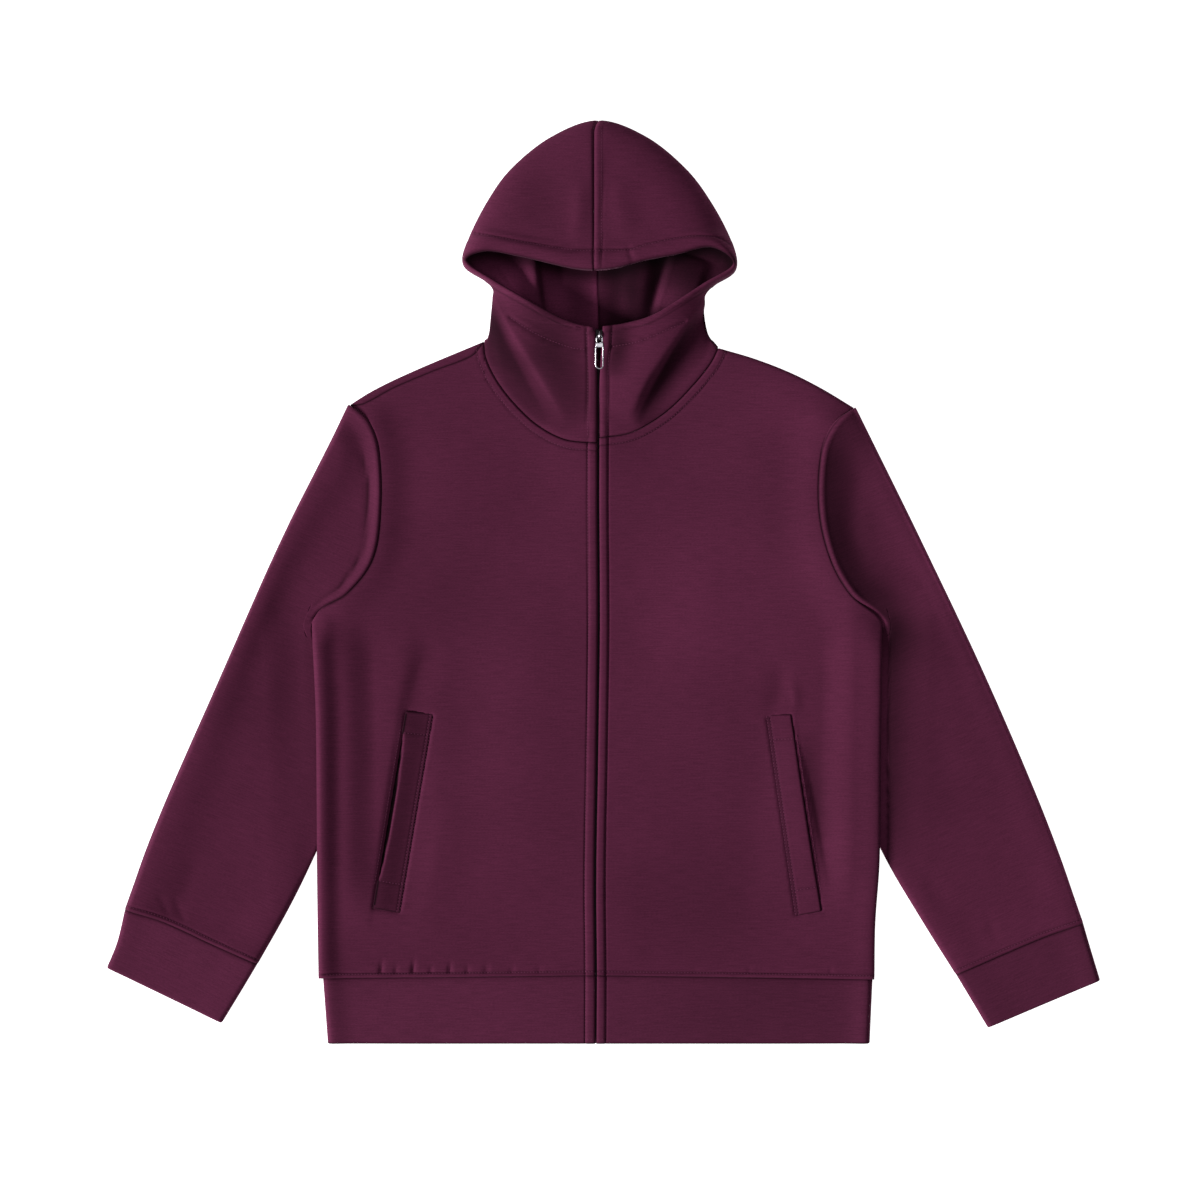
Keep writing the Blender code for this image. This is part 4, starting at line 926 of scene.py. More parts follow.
def makeSleeve(side):
    sign = sides[side]
    outer, inner, seam = (halfPath(sleeve[name], side) for name in ("outer", "inner", "cuffSeam"))
    even = np.linspace(0, 1, sleeve["columns"] + 1)
    head = sampled(movedAside(armholes[side], sign * sleeve["tuck"]), even)[::-1]
    outer, inner = sampled(outer, sleeve["rows"]), sampled(inner, sleeve["rows"])
    seam = sampled(movedAside(seam, -sign * cloth["seam"]), even)
    head[0], head[-1], seam[0], seam[-1] = outer[0], inner[0], outer[-1], inner[-1]
    coarse = settled(patch(head, seam, outer, inner, even, sleeve["rows"]))
    us = shares(sleeve["wide"], cloth["grid"], edgeSteps[:9], edgeSteps[:9])
    vs = shares(sleeve["long"], cloth["grid"], edgeSteps, edgeSteps)
    grid = splined(coarse, sleeve["rows"], vs)
    grid = splined(grid.transpose(1, 0, 2), even, us).transpose(1, 0, 2)
    grid = insetFolds(grid, cloth["wall"] / 2)
    foldZ = (body["floor"] + sleeve["high"]) / 2
    rows = tubeRows(grid, us, lambda *places: sleeveHeight(side, *places, foldZ), body["floor"], foldZ)
    grain = sleeveGrain(rows, (grid[0].mean(axis=0), grid[-1].mean(axis=0)))
    piece = clothPiece(f"cloth_sleeve_{side}", rows, cloth["wall"], sewnWeights(gridEdges(rows)[:2]), grain,
                       sleevePaintedShading(side, rows), ring=True, turned=side == "right")
    finishPiece(piece, f"sleeve_{side}", bodyKnit)
    print("sleeve", side, rows.shape)


def armShade(side, up, rows):
    armGap = gapTo(rows, armholes[side])
    if side == "right":
        deep, past, width = sleeve["ditchShade"]
        beyond = armGap - np.interp(up, sleeve["rollUps"], sleeve["rollWidth"][side])
        return deep * bump(beyond - past, width) * between(up, *sleeve["ditchShadeRows"])
    deep, place, width = sleeve["armShade"]
    shade = deep * ramp(armGap, *sleeve["armShadeFrom"]) * bump(armGap - place, width)
    # a thin painted highlight along the outer fold
    foldGap = gapTo(rows, halfPath(sleeve["outer"], side))
    return overlaid(shade * ramp(up, *sleeve["armShadeTo"]), -ridge(foldGap, *sleeve["foldLight"]))


def sideShade(side, up, rows):
    deep, reach = sleeve["sideShade"][side]
    sideGap = gapTo(rows, sideSeams[side])
    shade = deep * np.exp(-sideGap / reach) * between(up, *sleeve["sideShadeRows"])
    if side == "left":
        # nearer the body its cast shadow falls, and painted light makes that shadow lighter
        start, end = sleeve["shadow"]
        light = sleeve["shadowLight"] * ramp(sideGap, end, start) * between(up, *sleeve["shadowRows"])
        shade = shade * ramp(sideGap, start, end) - light
    return shade


def sleevePaintedShading(side, rows):
    # painted shade along the cuff's seam and stitching, at the armhole, beside the body and in patches
    up, seam = rows[..., 1], halfPath(sleeve["cuffSeam"], side)
    stitches = movedAside(seam, -sides[side] * (sleeve["stitch"] + 0.2))
    return overlaid(paintedLineShade(rows, ((seam, 1.2, 0.7), (stitches, 0.9, 0.45))), armSeamPaintedShade(side, rows),
                    armShade(side, up, rows), sideShade(side, up, rows), paintedPatchShade(rows, sleeve["paintedShadePatches"][side]))


def makeCuff(side):
    seamLine = halfPath(sleeve["cuffSeam"], side)
    us = shares(cuff["wide"], cloth["grid"], edgeSteps[:9], edgeSteps[:9])
    vs = shares(cuff["long"], cuff["grid"], edgeSteps[:8], edgeSteps[:6])
    outer, inner = (sampled(halfPath(cuff[name], side), vs) for name in ("outer", "inner"))
    seam = sampled(movedAside(seamLine, -sides[side] * cuff["tuck"]), us)
    seam[0], seam[-1] = outer[0], inner[0]
    grid = insetFolds(patch(seam, straight(outer[-1], inner[-1], us), outer, inner, us, vs),
                      cloth["doubleWall"] / 2)
    low = cloth["doubleWall"] / 2
    high = low + cloth["doubleWall"] + cloth["seam"]
    foldZ = (low + high) / 2

    def upper(points, outerGap, innerGap):
        edge = np.minimum(outerGap, innerGap)
        height = foldZ + (high - foldZ) * rounding(edge, sleeve["fold"])
        height += crest(outerGap, *cuff["outerRise"]) + crest(innerGap, *cuff["innerRise"])
        return height + cuff["puff"] * rounding(edge, cuff["puffRun"])

    rows = tubeRows(grid, us, upper, low, foldZ)
    lowEdge, highEdge, _, _ = gridEdges(rows)
    # the seam end goes in under the sleeve's own end
    shrunk = 1 - cuff["pinch"] * (1 - rounding(lowEdge - cuff["tuck"], cuff["tuckRun"]))
    deep, run = cuff["endRoll"]
    rolled = deep * (1 - rounding(highEdge, run)) * (rows[..., 2] > foldZ)
    rows[..., 2] = foldZ + (rows[..., 2] - foldZ) * shrunk - rolled
    grain = sleeveGrain(rows, (grid[0].mean(axis=0), grid[-1].mean(axis=0)))
    # painted shade along the cuff's seam, over its painted shade level
    paintedShading = overlaid(paintedLineShade(rows, ((seamLine, 1.5, 0.7),)), cuff["paintedShadeLevel"][side])
    piece = clothPiece(f"cloth_cuff_{side}", rows, cloth["doubleWall"],
                       sewnWeights((lowEdge, highEdge)), grain, paintedShading,
                       ring=True, turned=side == "right")
    finishPiece(piece, f"cuff_{side}", bandKnit)
    print("cuff", side, rows.shape)


for side in sides:
    makeSleeve(side)
    makeCuff(side)

# Hem band -------
def hemSection(v, tall, low, flat):
    # one row of each half: over the top from the zip, round the folded side and back beneath
    radius, halves = (flat - low) / 2, []
    over = shares(hem["halfRun"], cloth["grid"], tuple(np.arange(0, hem["zipRun"], cloth["zipGrid"])))
    rise, place, width = hem["sideRise"]
    for side, (atSeam, atBottom) in hem["side"].items():
        reach = atSeam + (atBottom - atSeam) * v - cloth["doubleWall"] / 2
        across = body["zipGap"] + over * (reach - radius - body["zipGap"])
        turn = np.linspace(0, math.pi, hem["turnSteps"])[1:-1]
        under = np.linspace(reach - radius, 0.0, hem["underColumns"])
        x = np.concatenate((across, reach - radius + radius * np.sin(turn), under))
        high = flat + (hem["high"] - flat) * ramp(across, reach - hem["turn"], hem["flatFrom"])
        high += ridge(reach - across, rise, place, width) * rounding(reach - across, place)
        y = tall * (1 - v) + hemWave(sides[side] * x) * (1 - v) ** 2
        z = np.concatenate((high, (flat + low) / 2 + radius * np.cos(turn), np.full(len(under), low)))
        half = np.stack((sides[side] * x, y, z), axis=1)
        halves.append(half if side == "right" else half[::-1][1:])
    return np.vstack(halves)


def makeHemBand():
    low = cloth["doubleWall"] / 2
    flat = low + cloth["doubleWall"] + cloth["seam"]
    tall = hem["top"] + hem["tuck"]
    downs = shares(tall, hem["grid"], edgeSteps, edgeSteps[:9])
    rows = np.array([hemSection(v, tall, low, flat) for v in downs])
    upper = rows[..., 2] > flat - 0.4
    seamGap = gridEdges(rows)[0] - hem["tuck"]
    zipGap = np.abs(rows[..., 0]) - body["zipGap"]
    relief = hem["swell"] * np.sin(math.pi * np.clip(seamGap / hem["top"], 0, 1)) ** hem["swellRound"]
    relief -= hem["sink"] * (1 - rounding(seamGap + 1.0, hem["sinkRun"]))
    stitched = np.where(rows[..., 0] < 0, front["placket"]["right"], front["placket"]["left"])
    relief += plackets(zipGap, stitched) * ramp(seamGap, -1.0, 2.0)
    deep, run = hem["bottomRoll"]
    relief -= deep * (1 - rounding(rows[..., 1], run))
    rows[..., 2] += np.where(upper, relief, 0.0)
    lowGap, highGap, startGap, endGap = gridEdges(rows)
    weights = sewnWeights((lowGap, highGap * 1.4, startGap, endGap))
    # painted shade along the fold it lies on, its seam, the zip's stitching and the zip, each with its half
    # width and depth
    lines = [(np.array(((-280.0, 0.1), (280.0, 0.1))), 1.6, 0.85)]
    for side, sign in sides.items():
        lines += [(hemLine(side, -0.6), 1.0, 0.55),
                  (upright(sign * front["placket"][side], 0.0, 68.0), 0.7, 0.6),
                  (upright(sign * body["zipGap"], 0.0, 70.0), 0.6, 0.7)]
    paintedShading = overlaid(paintedLineShade(rows, lines), paintedPatchShade(rows, hem["paintedShadePatches"]))
    piece = clothPiece("cloth_hem_band", rows, cloth["doubleWall"], weights, rows[..., :2], paintedShading)
    finishPiece(piece, "hem_band", bandKnit)
    print("hem band", rows.shape)


makeHemBand()

# Hood -------
hood = {
    "floorColumns": 60, "lidColumns": 72, "steps": 14,
    "wall": 2.7, "wallShare": 0.62, "grainRise": 0.3,
    # at the neck: the gap of its seam, the back's own, its corner out and up, and the lid's part by the zip
    "planSeam": 0.5, "seamShut": 0.05, "seamCorner": (1.7, 2.0), "zipShare": (0.86, 0.94),
    "centre": -0.6, "floorPull": 0.6, "turnPull": 0.45, "edgePull": 0.45,
    # how the collar leans at the zip, by the edge's height
    "funnelTop": 720.0, "funnelPull": 0.4, "funnelDrop": 0.5,
    "funnelLean": ((660.0, 714.0, 719.0), (4.0, -8.0, -4.0)),
    # the crown's seam and stitching, where they begin along the lid and up it, and their band and ditch
    "crownSeam": -4.5, "crownStitch": 3.0, "crownAlong": (0.0, 0.25), "crownUp": (752.0, 768.0),
    "crownAcross": (60.0, 0.0), "crownBand": 0.4, "crownDitch": (0.5, 0.9), "backSeam": (0.5, 0.0, 1.2),
    # the face edge's turned hem, lower on the collar than on the brim, and how its edge rolls under
    "brimFrom": (728.0, 764.0), "collarTo": (722.0, 716.0),
    "hemWidth": 21.0, "hemPuff": 2.6, "hemShare": 0.3, "hemRound": 7.0, "hemFull": 8.0, "hemRoll": 3.2,
    # rises and ditches (how high or deep, where and how wide) at the neck seam and the stitching
    "neckRise": (0.6, 4.0, 5.0), "stitchRise": (0.5, 4.0, 3.0), "stitchDitch": (0.8, 0.0, 1.3),
    # painted shade at the brim, below the collar's lip, within the brim and in the back's seam, in the same
    # order
    "rimPaintedShade": (0.8, 0.0, 2.2), "lip": (0.35, 5.6, 0.9), "lipPaintedShadeFrom": (2.0, 6.0),
    "underBrimPaintedShade": (0.8, 0.0, 11.0), "insideSeamPaintedShade": (0.6, 0.0, 1.0),
    # stitching above the face edge and on the collar's turned top
    "brimStitch": ((-124.0, 808.0), (-71.5, 798.0), (-25.5, 790.5), (-6.0, 790.0), (32.0, 791.0),
                   (48.0, 796.0), (89.5, 804.0), (117.0, 803.0), (130.5, 796.0)),
    "collarStitch": {"right": ((-88.0, 724.5), (-62.0, 708.0), (-30.0, 695.0), (-9.5, 691.6)),
                     "left": ((13.5, 695.0), (39.0, 700.0), (62.0, 709.0), (86.0, 720.0))},
    # back up, side across, side up, side z, edge across, edge up, edge z, forward
    "right": (
        (705.0, 109.4, 709.0, 6.0, 1.2, 655.0, 15.0, 26.0),
        (735.0, 106.5, 736.0, 9.0, 3.4, 714.0, 22.5, 12.0),
        (747.0, 105.8, 745.0, 9.5, 26.0, 719.4, 23.4, 8.0),
        (760.0, 105.5, 753.0, 10.0, 53.0, 731.0, 24.0, 3.0),
        (785.0, 113.5, 762.0, 10.5, 101.5, 759.0, 25.0, 0.0),
        (812.0, 134.5, 777.0, 12.0, 131.0, 780.0, 23.0, 0.0),
        (840.0, 130.5, 801.0, 9.5, 112.5, 790.0, 27.0, 0.0),
        (866.0, 112.0, 839.0, 8.0, 80.0, 785.0, 28.5, 0.0),
        (888.0, 87.5, 873.0, 7.0, 52.0, 778.5, 29.0, 0.0),
        (906.0, 47.5, 905.0, 6.0, 22.0, 772.3, 29.5, 0.0),
        (918.0, 1.2, 921.3, 5.0, 0.3, 770.5, 30.0, 0.0)),
    "left": (
        (705.0, 109.4, 708.0, 6.0, 1.2, 658.0, 15.0, 26.0),
        (735.0, 105.5, 728.0, 9.0, 4.2, 715.0, 22.5, 12.0),
        (747.0, 106.2, 738.5, 9.5, 29.0, 718.6, 23.4, 8.0),
        (760.0, 107.0, 748.0, 10.0, 58.0, 727.5, 24.0, 3.0),
        (785.0, 116.5, 758.0, 10.5, 104.0, 757.0, 25.0, 0.0),
        (812.0, 137.0, 773.0, 12.0, 134.5, 777.5, 23.0, 0.0),
        (840.0, 132.5, 801.0, 9.5, 112.5, 794.0, 27.0, 0.0),
        (866.0, 113.0, 839.0, 8.0, 78.0, 786.5, 28.5, 0.0),
        (888.0, 87.5, 873.0, 7.0, 48.0, 780.5, 29.0, 0.0),
        (906.0, 48.0, 905.0, 6.0, 22.0, 772.8, 29.5, 0.0),
        (918.0, 1.2, 921.3, 5.0, 0.3, 770.5, 30.0, 0.0)),
    # folds behind the neck: line, rise, width away from the middle and toward it
    "pleats": {
        "right": ((((54.0, 716.0), (60.0, 752.0), (63.0, 800.0)), 13.0, 17.0, 2.6),
                  (((76.0, 738.0), (91.0, 754.0), (106.0, 776.0)), 5.0, 7.0, 4.0)),
        "left": ((((36.0, 716.0), (42.0, 752.0), (50.0, 800.0)), 7.0, 13.0, 22.0),
                 (((54.0, 718.0), (65.0, 752.0), (77.0, 792.0)), 6.0, 30.0, 3.0),
                 (((84.0, 728.0), (94.0, 752.0), (106.0, 782.0)), 6.0, 9.0, 20.0)),
    },
    # painted shade over the inside, painted shade and light along soft lines in it, and painted light and
    # shade patches, all measured out from the middle
    "inside": {"right": 0.05, "left": 0.75},
    "insidePaintedShadeLines": {
        "right": ((((54.0, 722.0), (58.0, 752.0), (64.0, 788.0)), 0.6, 4.0, 5.0),
                  (((22.0, 718.0), (23.0, 752.0), (26.0, 786.0)), 0.4, 12.0, 12.0),
                  (((2.0, 710.0), (2.0, 745.0), (1.0, 782.0)), -0.6, 5.0, 4.0)),
        "left": ((((4.0, 710.0), (4.0, 745.0), (3.0, 782.0)), -0.8, 5.0, 6.0),
                 (((17.0, 718.0), (18.0, 752.0), (19.0, 786.0)), 0.25, 7.0, 7.0),
                 (((34.0, 718.0), (34.0, 752.0), (36.0, 780.0)), 0.36, 8.0, 7.0),
                 (((47.0, 716.0), (55.0, 752.0), (68.0, 788.0)), 0.7, 9.0, 1.5)),
    },
    "insidePaintedShadePatches": {"right": ((88.0, 757.0, 18.0, -1.1), (34.0, 742.0, 18.0, -0.4)),
                    "left": ((22.0, 738.0, 11.0, -0.4), (31.0, 753.0, 9.0, 0.12), (66.0, 744.0, 14.0, -1.2),
                             (91.0, 768.0, 14.0, 0.32))},
    # painted shade outside: along the hollows beside the collar's folds, with a thin painted highlight on one
    # fold's ridge, then painted light and shade patches
    "shade": {
        "right": ((((-116.0, 752.0), (-98.0, 708.0), (-77.0, 668.0), (-50.0, 618.0)), 0.6, 4.0, 26.0),
                  (((-66.0, 756.0), (-46.0, 690.0), (-20.0, 614.0)), 0.58, 30.0, 28.0),
                  (((-110.0, 764.0), (-104.0, 712.0), (-96.0, 668.0)), 0.4, 13.0, 13.0),
                  (((-110.0, 756.0), (-91.0, 718.0), (-74.0, 690.0), (-54.0, 656.0), (-32.0, 620.0)),
                   -0.25, 1.8, 1.8)),
        "left": ((((98.0, 728.0), (82.0, 703.0), (66.0, 676.0), (52.0, 650.0), (36.0, 618.0)),
                  0.74, 15.0, 2.2),
                 (((21.0, 722.0), (20.0, 696.0), (14.0, 664.0)), 0.6, 12.0, 11.0)),
    },
    "paintedShadePatches": {"right": ((-58.0, 853.0, 40.0, 0.14), (0.0, 903.0, 30.0, -0.12), (-107.0, 718.0, 14.0, 0.35),
                        (-68.0, 683.0, 16.0, 0.2)),
              "left": ((61.0, 853.0, 45.0, -0.25), (0.0, 903.0, 30.0, -0.12))},
    # the collar's diagonal folds and the soft swells of the dome
    "folds": {
        "right": (
            (((-114.0, 744.0), (-97.0, 714.0), (-80.0, 688.0), (-60.0, 655.0), (-40.0, 618.0)),
             -1.3, 4.5, 24.0),
            (((-106.0, 750.0), (-88.5, 718.0), (-72.0, 691.0), (-52.0, 659.0), (-30.0, 620.0)),
             1.7, 34.0, 4.0),
            (((-102.0, 748.0), (-99.0, 705.0), (-92.0, 660.0)), 1.6, 26.0, 7.0),
            (((-14.0, 862.0), (-15.0, 828.0), (-22.0, 796.0)), 1.4, 11.0, 9.0),
            (((-70.0, 880.0), (-52.0, 850.0), (-48.0, 812.0)), -1.5, 24.0, 24.0),
        ),
        "left": (
            (((107.0, 748.0), (82.5, 713.0), (62.0, 684.0), (46.0, 661.0), (28.0, 624.0)), 7.0, 5.5, 34.0),
            (((118.0, 740.0), (94.0, 704.0), (73.0, 675.0), (58.0, 650.0), (42.0, 618.0)), -5.0, 24.0, 6.0),
            (((22.0, 866.0), (26.0, 828.0), (32.0, 796.0)), 1.3, 13.0, 10.0),
            (((10.0, 908.0), (12.0, 868.0), (16.0, 838.0)), -0.8, 18.0, 9.0),
            (((31.0, 796.0), (33.0, 786.0), (38.0, 774.0)), -0.9, 2.6, 2.0),
        ),
    },
}


def bezier(points, count):
    a, b, c, d = (np.array(point, float) for point in points)
    t = np.linspace(0, 1, count + 1)[:, None]
    return (1 - t)**3 * a + 3 * (1 - t)**2 * t * b + 3 * (1 - t) * t**2 * c + t**3 * d


def hoodSection(section, sign):
    backUp, sideAcross, sideUp, sideZ, edgeAcross, edgeUp, edgeZ, forward = section
    turnPoint = np.array((sideAcross - cloth["wall"] / 2, sideUp, sideZ))
    edge = np.array((edgeAcross, edgeUp, edgeZ))
    turn = np.array((0.0, -forward, hood["turnPull"] * (edgeZ - sideZ)))
    back = np.array((hood["centre"], backUp, body["floor"]))
    floor = bezier((back, back + (hood["floorPull"] * (sideAcross - hood["centre"]), 0.0, 0.0),
                    (turnPoint[0], turnPoint[1] + forward / 3, body["floor"]), turnPoint),
                   hood["floorColumns"])
    span = edge - turnPoint
    flatEnd = edge - hood["edgePull"] * np.array((span[0], span[1], 0.0))
    if edgeUp < hood["funnelTop"]:
        lean = np.interp(edgeUp, *hood["funnelLean"])
        flatEnd = edge + (hood["funnelPull"] * (sideAcross - edgeAcross), lean, -hood["funnelDrop"])
    points = np.vstack((floor, bezier((turnPoint, turnPoint + turn, flatEnd, edge), hood["lidColumns"])[1:]))
    points[:, 2] = np.maximum(points[:, 2], body["floor"])
    points[:, 0] *= sign
    return points


def neckRow(side, inset):
    sign = sides[side]
    # the back's neck seam closes without a gap, the front's is a fine one
    close = sign * (inset - hood["planSeam"] + hood["seamShut"])
    floor = sampled(movedAside(backNecks[side], close), np.linspace(0, 1, hood["floorColumns"] + 1))
    seam = sampled(movedAside(neckSeams[side], sign * inset)[::-1], np.linspace(0, 1, hood["lidColumns"] + 1))
    floor[0][0], seam[-1][0] = sign * hood["centre"], sign * body["zipGap"]
    out, up = hood["seamCorner"]
    seam[0] += (-sign * out * inset, up * inset + cloth["seam"])
    heights = layHeight(seam, np.minimum(gapTo(seam, shoulders[side]), gapTo(seam, sideSeams[side])))
    heights[0] = (heights[0] + body["floor"]) / 2
    floorRow = np.column_stack((floor[:-1], np.full(len(floor) - 1, body["floor"])))
    return np.vstack((floorRow, np.column_stack((seam, heights))))


def hoodRows(side):
    sections = [hoodSection(section, sides[side]) for section in hood[side]]
    mirrored = sections[-2] * (-1, 1, 1)
    knots = [neckRow(side, hood["planSeam"]), neckRow(side, 4 * hood["planSeam"]), *sections, mirrored]
    # the knot at the zip's top, where the face edge turns away from the zip
    corner = 3
    lidShare = np.clip((np.arange(len(knots[0])) - hood["floorColumns"]) / hood["lidColumns"], 0, 1)[:, None]
    nearZip = ramp(lidShare, *hood["zipShare"])
    rows = [knots[0]]
    for i in range(1, len(knots) - 2):
        a, b, c, d = knots[i - 1:i + 3]
        leave, arrive = (c - b if i == 1 else (c - a) / 2), (d - b) / 2
        if i == corner:
            leave = leave + nearZip * (c - b - leave)
        if i + 1 == corner:
            arrive = arrive + nearZip * (c - b - arrive)
        rows += [hermite(b, c, leave, arrive, step / hood["steps"]) for step in range(hood["steps"])]
    rows = np.array(rows + [knots[-2]])
    cornerRow = 1 + (corner - 1) * hood["steps"]
    return rows, cornerRow, lidShare[:, 0]


def hoodRelief(side, rows, cornerRow, lidShare):
    sign = sides[side]
    plan = rows[..., :2] * (sign, 1)
    floorPart, lidPart = lidShare <= 0, lidShare > 0
    floor, lid = plan[:, floorPart], plan[:, lidPart]
    relief = np.zeros(rows.shape[:2])
    relief[:, floorPart] = -ridge(floor[..., 0], *hood["backSeam"])
    for line, rise, outward, inward in hood["pleats"][side]:
        relief[:, floorPart] += rise * alongLine(floor, line, inward, outward, 0.7)
    faceEdge = gapTo(lid, plan[cornerRow:, -1])
    neckGap = gapTo(lid, neckSeams[side] * (sign, 1))
    height = folded(lid * (sign, 1), hood["folds"][side])
    onBrim = ramp(lid[..., 1], *hood["brimFrom"])
    puff = hood["hemPuff"] * (hood["hemShare"] + (1 - hood["hemShare"]) * onBrim)
    puff *= rounding(faceEdge, hood["hemRound"]) * ramp(faceEdge, hood["hemWidth"] + 2, hood["hemFull"])
    height += puff
    height -= (1.0 + onBrim) * (1 - rounding(faceEdge, hood["hemRoll"]))
    height += sewnEdge(neckGap) + ridge(neckGap, *hood["neckRise"])
    for line in (hood["brimStitch"], hood["collarStitch"][side]):
        stitchGap = gapTo(lid * (sign, 1), smoothPath(line))
        height += ridge(stitchGap, *hood["stitchRise"]) - ridge(stitchGap, *hood["stitchDitch"])
    onCollar = ramp(lid[..., 1], *hood["collarTo"])
    beside = np.maximum(lid[..., 0] - body["zipGap"], 0.0)
    height += onCollar * plackets(beside, placketReach(side, lid[..., 1]))
    relief[:, lidPart] = height
    return relief


def hoodPaintedShading(side, rows, cornerRow, lidShare):
    sign, lidPart = sides[side], lidShare > 0
    faceEdge = rows[cornerRow:, -1, :2]
    edgeUps = np.linspace(604.0, 714.0, 30)
    placket = np.stack((sign * placketReach(side, edgeUps), edgeUps), axis=1)
    # painted shade along seams and stitching, each with its half width and depth
    lines = [(neckSeams[side], 0.9, 0.5), (smoothPath(hood["brimStitch"]), 0.9, 0.45),
             (smoothPath(hood["collarStitch"][side]), 1.3, 0.3),
             (upright(sign * body["zipGap"], 600.0, 700.0), 0.4, 0.7), (placket, 0.8, 0.6),
             (upright(hood["crownSeam"], 772.0, 922.0), 0.8, 0.3),
             (upright(hood["crownStitch"], 792.0, 918.0), 0.8, 0.2)]
    # the face edge turns at the mouth's corner: above it the brim rolls under, below it there is a lip, and
    # painted shade lies along both
    widest = int(np.abs(faceEdge[:, 0]).argmax())
    brimGap, lipGap = gapTo(rows, faceEdge[widest:]), gapTo(rows, faceEdge[:widest + 1])
    rimPaintedShade = ridge(brimGap, *hood["rimPaintedShade"]) + ridge(lipGap, *hood["lip"]) * ramp(brimGap, *hood["lipPaintedShadeFrom"])
    outside = overlaid(paintedLineShade(rows, lines), rimPaintedShade, shaded(rows, hood["shade"][side]),
                       paintedPatchShade(rows, hood["paintedShadePatches"][side]))
    # painted shade and painted light over the inside
    within = rows * (sign, 1, 1)
    inside = overlaid(hood["inside"][side], shaded(within, hood["insidePaintedShadeLines"][side]),
                      paintedPatchShade(within, hood["insidePaintedShadePatches"][side]), ridge(brimGap, *hood["underBrimPaintedShade"]),
                      ridge(within[..., 0], *hood["insideSeamPaintedShade"]))
    return np.where(lidPart[None], outside, inside)


def makeHood(side):
    rows, cornerRow, lidShare = hoodRows(side)
    rows[..., 2] += hoodRelief(side, rows, cornerRow, lidShare)
    onTop = ramp(lidShare, *hood["crownAlong"])[None] * ramp(rows[..., 1], *hood["crownUp"])
    rows[..., 0] += hood["crownSeam"] * onTop * ramp(np.abs(rows[..., 0]), *hood["crownAcross"])
    if side == "left":
        # the seam's allowance lies to this side, out to its stitching
        beside, width = rows[..., 0] - hood["crownSeam"], hood["crownStitch"] - hood["crownSeam"]
        band = hood["crownBand"] * between(beside, (0.2, 2.0), (width, width - 2))
        deep, wide = hood["crownDitch"]
        rows[..., 2] += onTop * (band - ridge(beside, deep, width, wide))
    low, high, start, end = gridEdges(rows)
    weights = sewnWeights((low, high, start, end)) * hood["wallShare"]
    faceHem = ramp(end, hood["hemWidth"] + 3, hood["hemWidth"] - 3) * rounding(end, 3.5)
    past = np.arange(len(rows))[:, None] >= cornerRow
    weights = np.where(past, np.maximum(weights, faceHem * rounding(high, 2.0)), weights)
    grain = rows[..., :2] + rows[..., 2:] * hood["grainRise"]
    piece = clothPiece(f"cloth_hood_{side}", rows, hood["wall"], weights, grain,
                       hoodPaintedShading(side, rows, cornerRow, lidShare), turned=side == "left")
    finishPiece(piece, f"hood_{side}", bodyKnit)
    print("hood", side, rows.shape)


for side in sides:
    makeHood(side)

# Pocket welts -------
def makeWelt(side):
    topOut, topIn, lowOut, lowIn = weltCorners(side)
    margin, wide, tall = welt["margin"], welt["wide"], welt["tall"]
    first, last = welt["bars"][side]
    acrossGrid, downGrid = welt["grid"]
    downs = shares(tall, downGrid, edgeSteps[:7], edgeSteps[:7]) * (1 + 2 * margin / tall) - margin / tall
    ins = shares(wide, acrossGrid, edgeSteps[:7], edgeSteps[:6]) * (1 + 2 * margin / wide) - margin / wide
    outer, inner = straight(topOut, lowOut, downs), straight(topIn, lowIn, downs)
    grid = outer[:, None] * (1 - ins)[None, :, None] + inner[:, None] * ins[None, :, None]
    fromOut, fromTop = np.meshgrid(wide * ins, tall * downs)
    fromIn, fromLow = np.meshgrid(wide * (1 - ins), tall * (1 - downs))
    past = fromOut - weltGape(side, downs)[:, None]
    before, after = welt["gapeEnds"]
    alongMouth = between(downs, (first - before, first + after), (last + before, last - after))
    gaping = ramp(past, *welt["gapeRun"]) * alongMouth[:, None]
    z = frontHeight(side, grid, welt=False) + welt["rise"] - welt["sunk"][side] * gaping
    z += welt["lean"][side] * (ramp(fromIn, *welt["leanFrom"]) - welt["leanMiddle"]) * (1 - gaping)
    for bar in welt["bars"][side]:
        z -= ridge((downs[:, None] - bar) * tall, *welt["barDitch"])
    z -= ridge(fromIn, *welt["stitchDitch"])
    edge = np.minimum(np.minimum(fromIn, fromOut), np.minimum(fromTop, fromLow)) + margin
    for (deep, run), gap in ((welt["mouthRoll"], past), (welt["edgeRoll"], edge)):
        z -= deep * (1 - rounding(gap, run))
    rows = np.dstack((grid, z))
    weights = rounding(edge, cloth["edgeRun"])
    # painted shade along its seam, stitching, ends and mouth, each with its half width and depth
    inward = (topIn - topOut) / np.linalg.norm(topIn - topOut)
    lines = [(np.array((topIn - inward * back, lowIn - inward * back)), 0.7, dark) for back, dark in
             ((0.0, 0.75), (welt["stitch"], 0.55))]
    if side == "right":
        lines += [(straight(topOut, lowOut, ends) + 0.8 * inward, 0.8, 0.95)
                  for ends in ((0.012, first), (last, 0.985))]
    lines += [(np.array((topOut, topIn)), 0.8, 0.5), (np.array((lowOut, lowIn)), 0.8, 0.65),
              (np.array((topOut, lowOut)), 0.9, 0.88)]
    lines += [(np.array((topOut + (lowOut - topOut) * bar, topIn + (lowIn - topIn) * bar)), 0.8, 0.45)
              for bar in welt["bars"][side]]
    # the gaping mouth is painted dark as painted shade
    paintedShading = overlaid(paintedLineShade(rows, lines), welt["gapePaintedShade"] * gaping,
                     welt["shade"][side] * ramp(past, *welt["shadeFrom"]))
    piece = clothPiece(f"cloth_pocket_welt_{side}", rows, cloth["wall"], weights, grid, paintedShading,
                       turned=side == "right")
    finishPiece(piece, f"pocket_welt_{side}", bodyKnit)
    print("welt", side, rows.shape)


for side in sides:
    makeWelt(side)

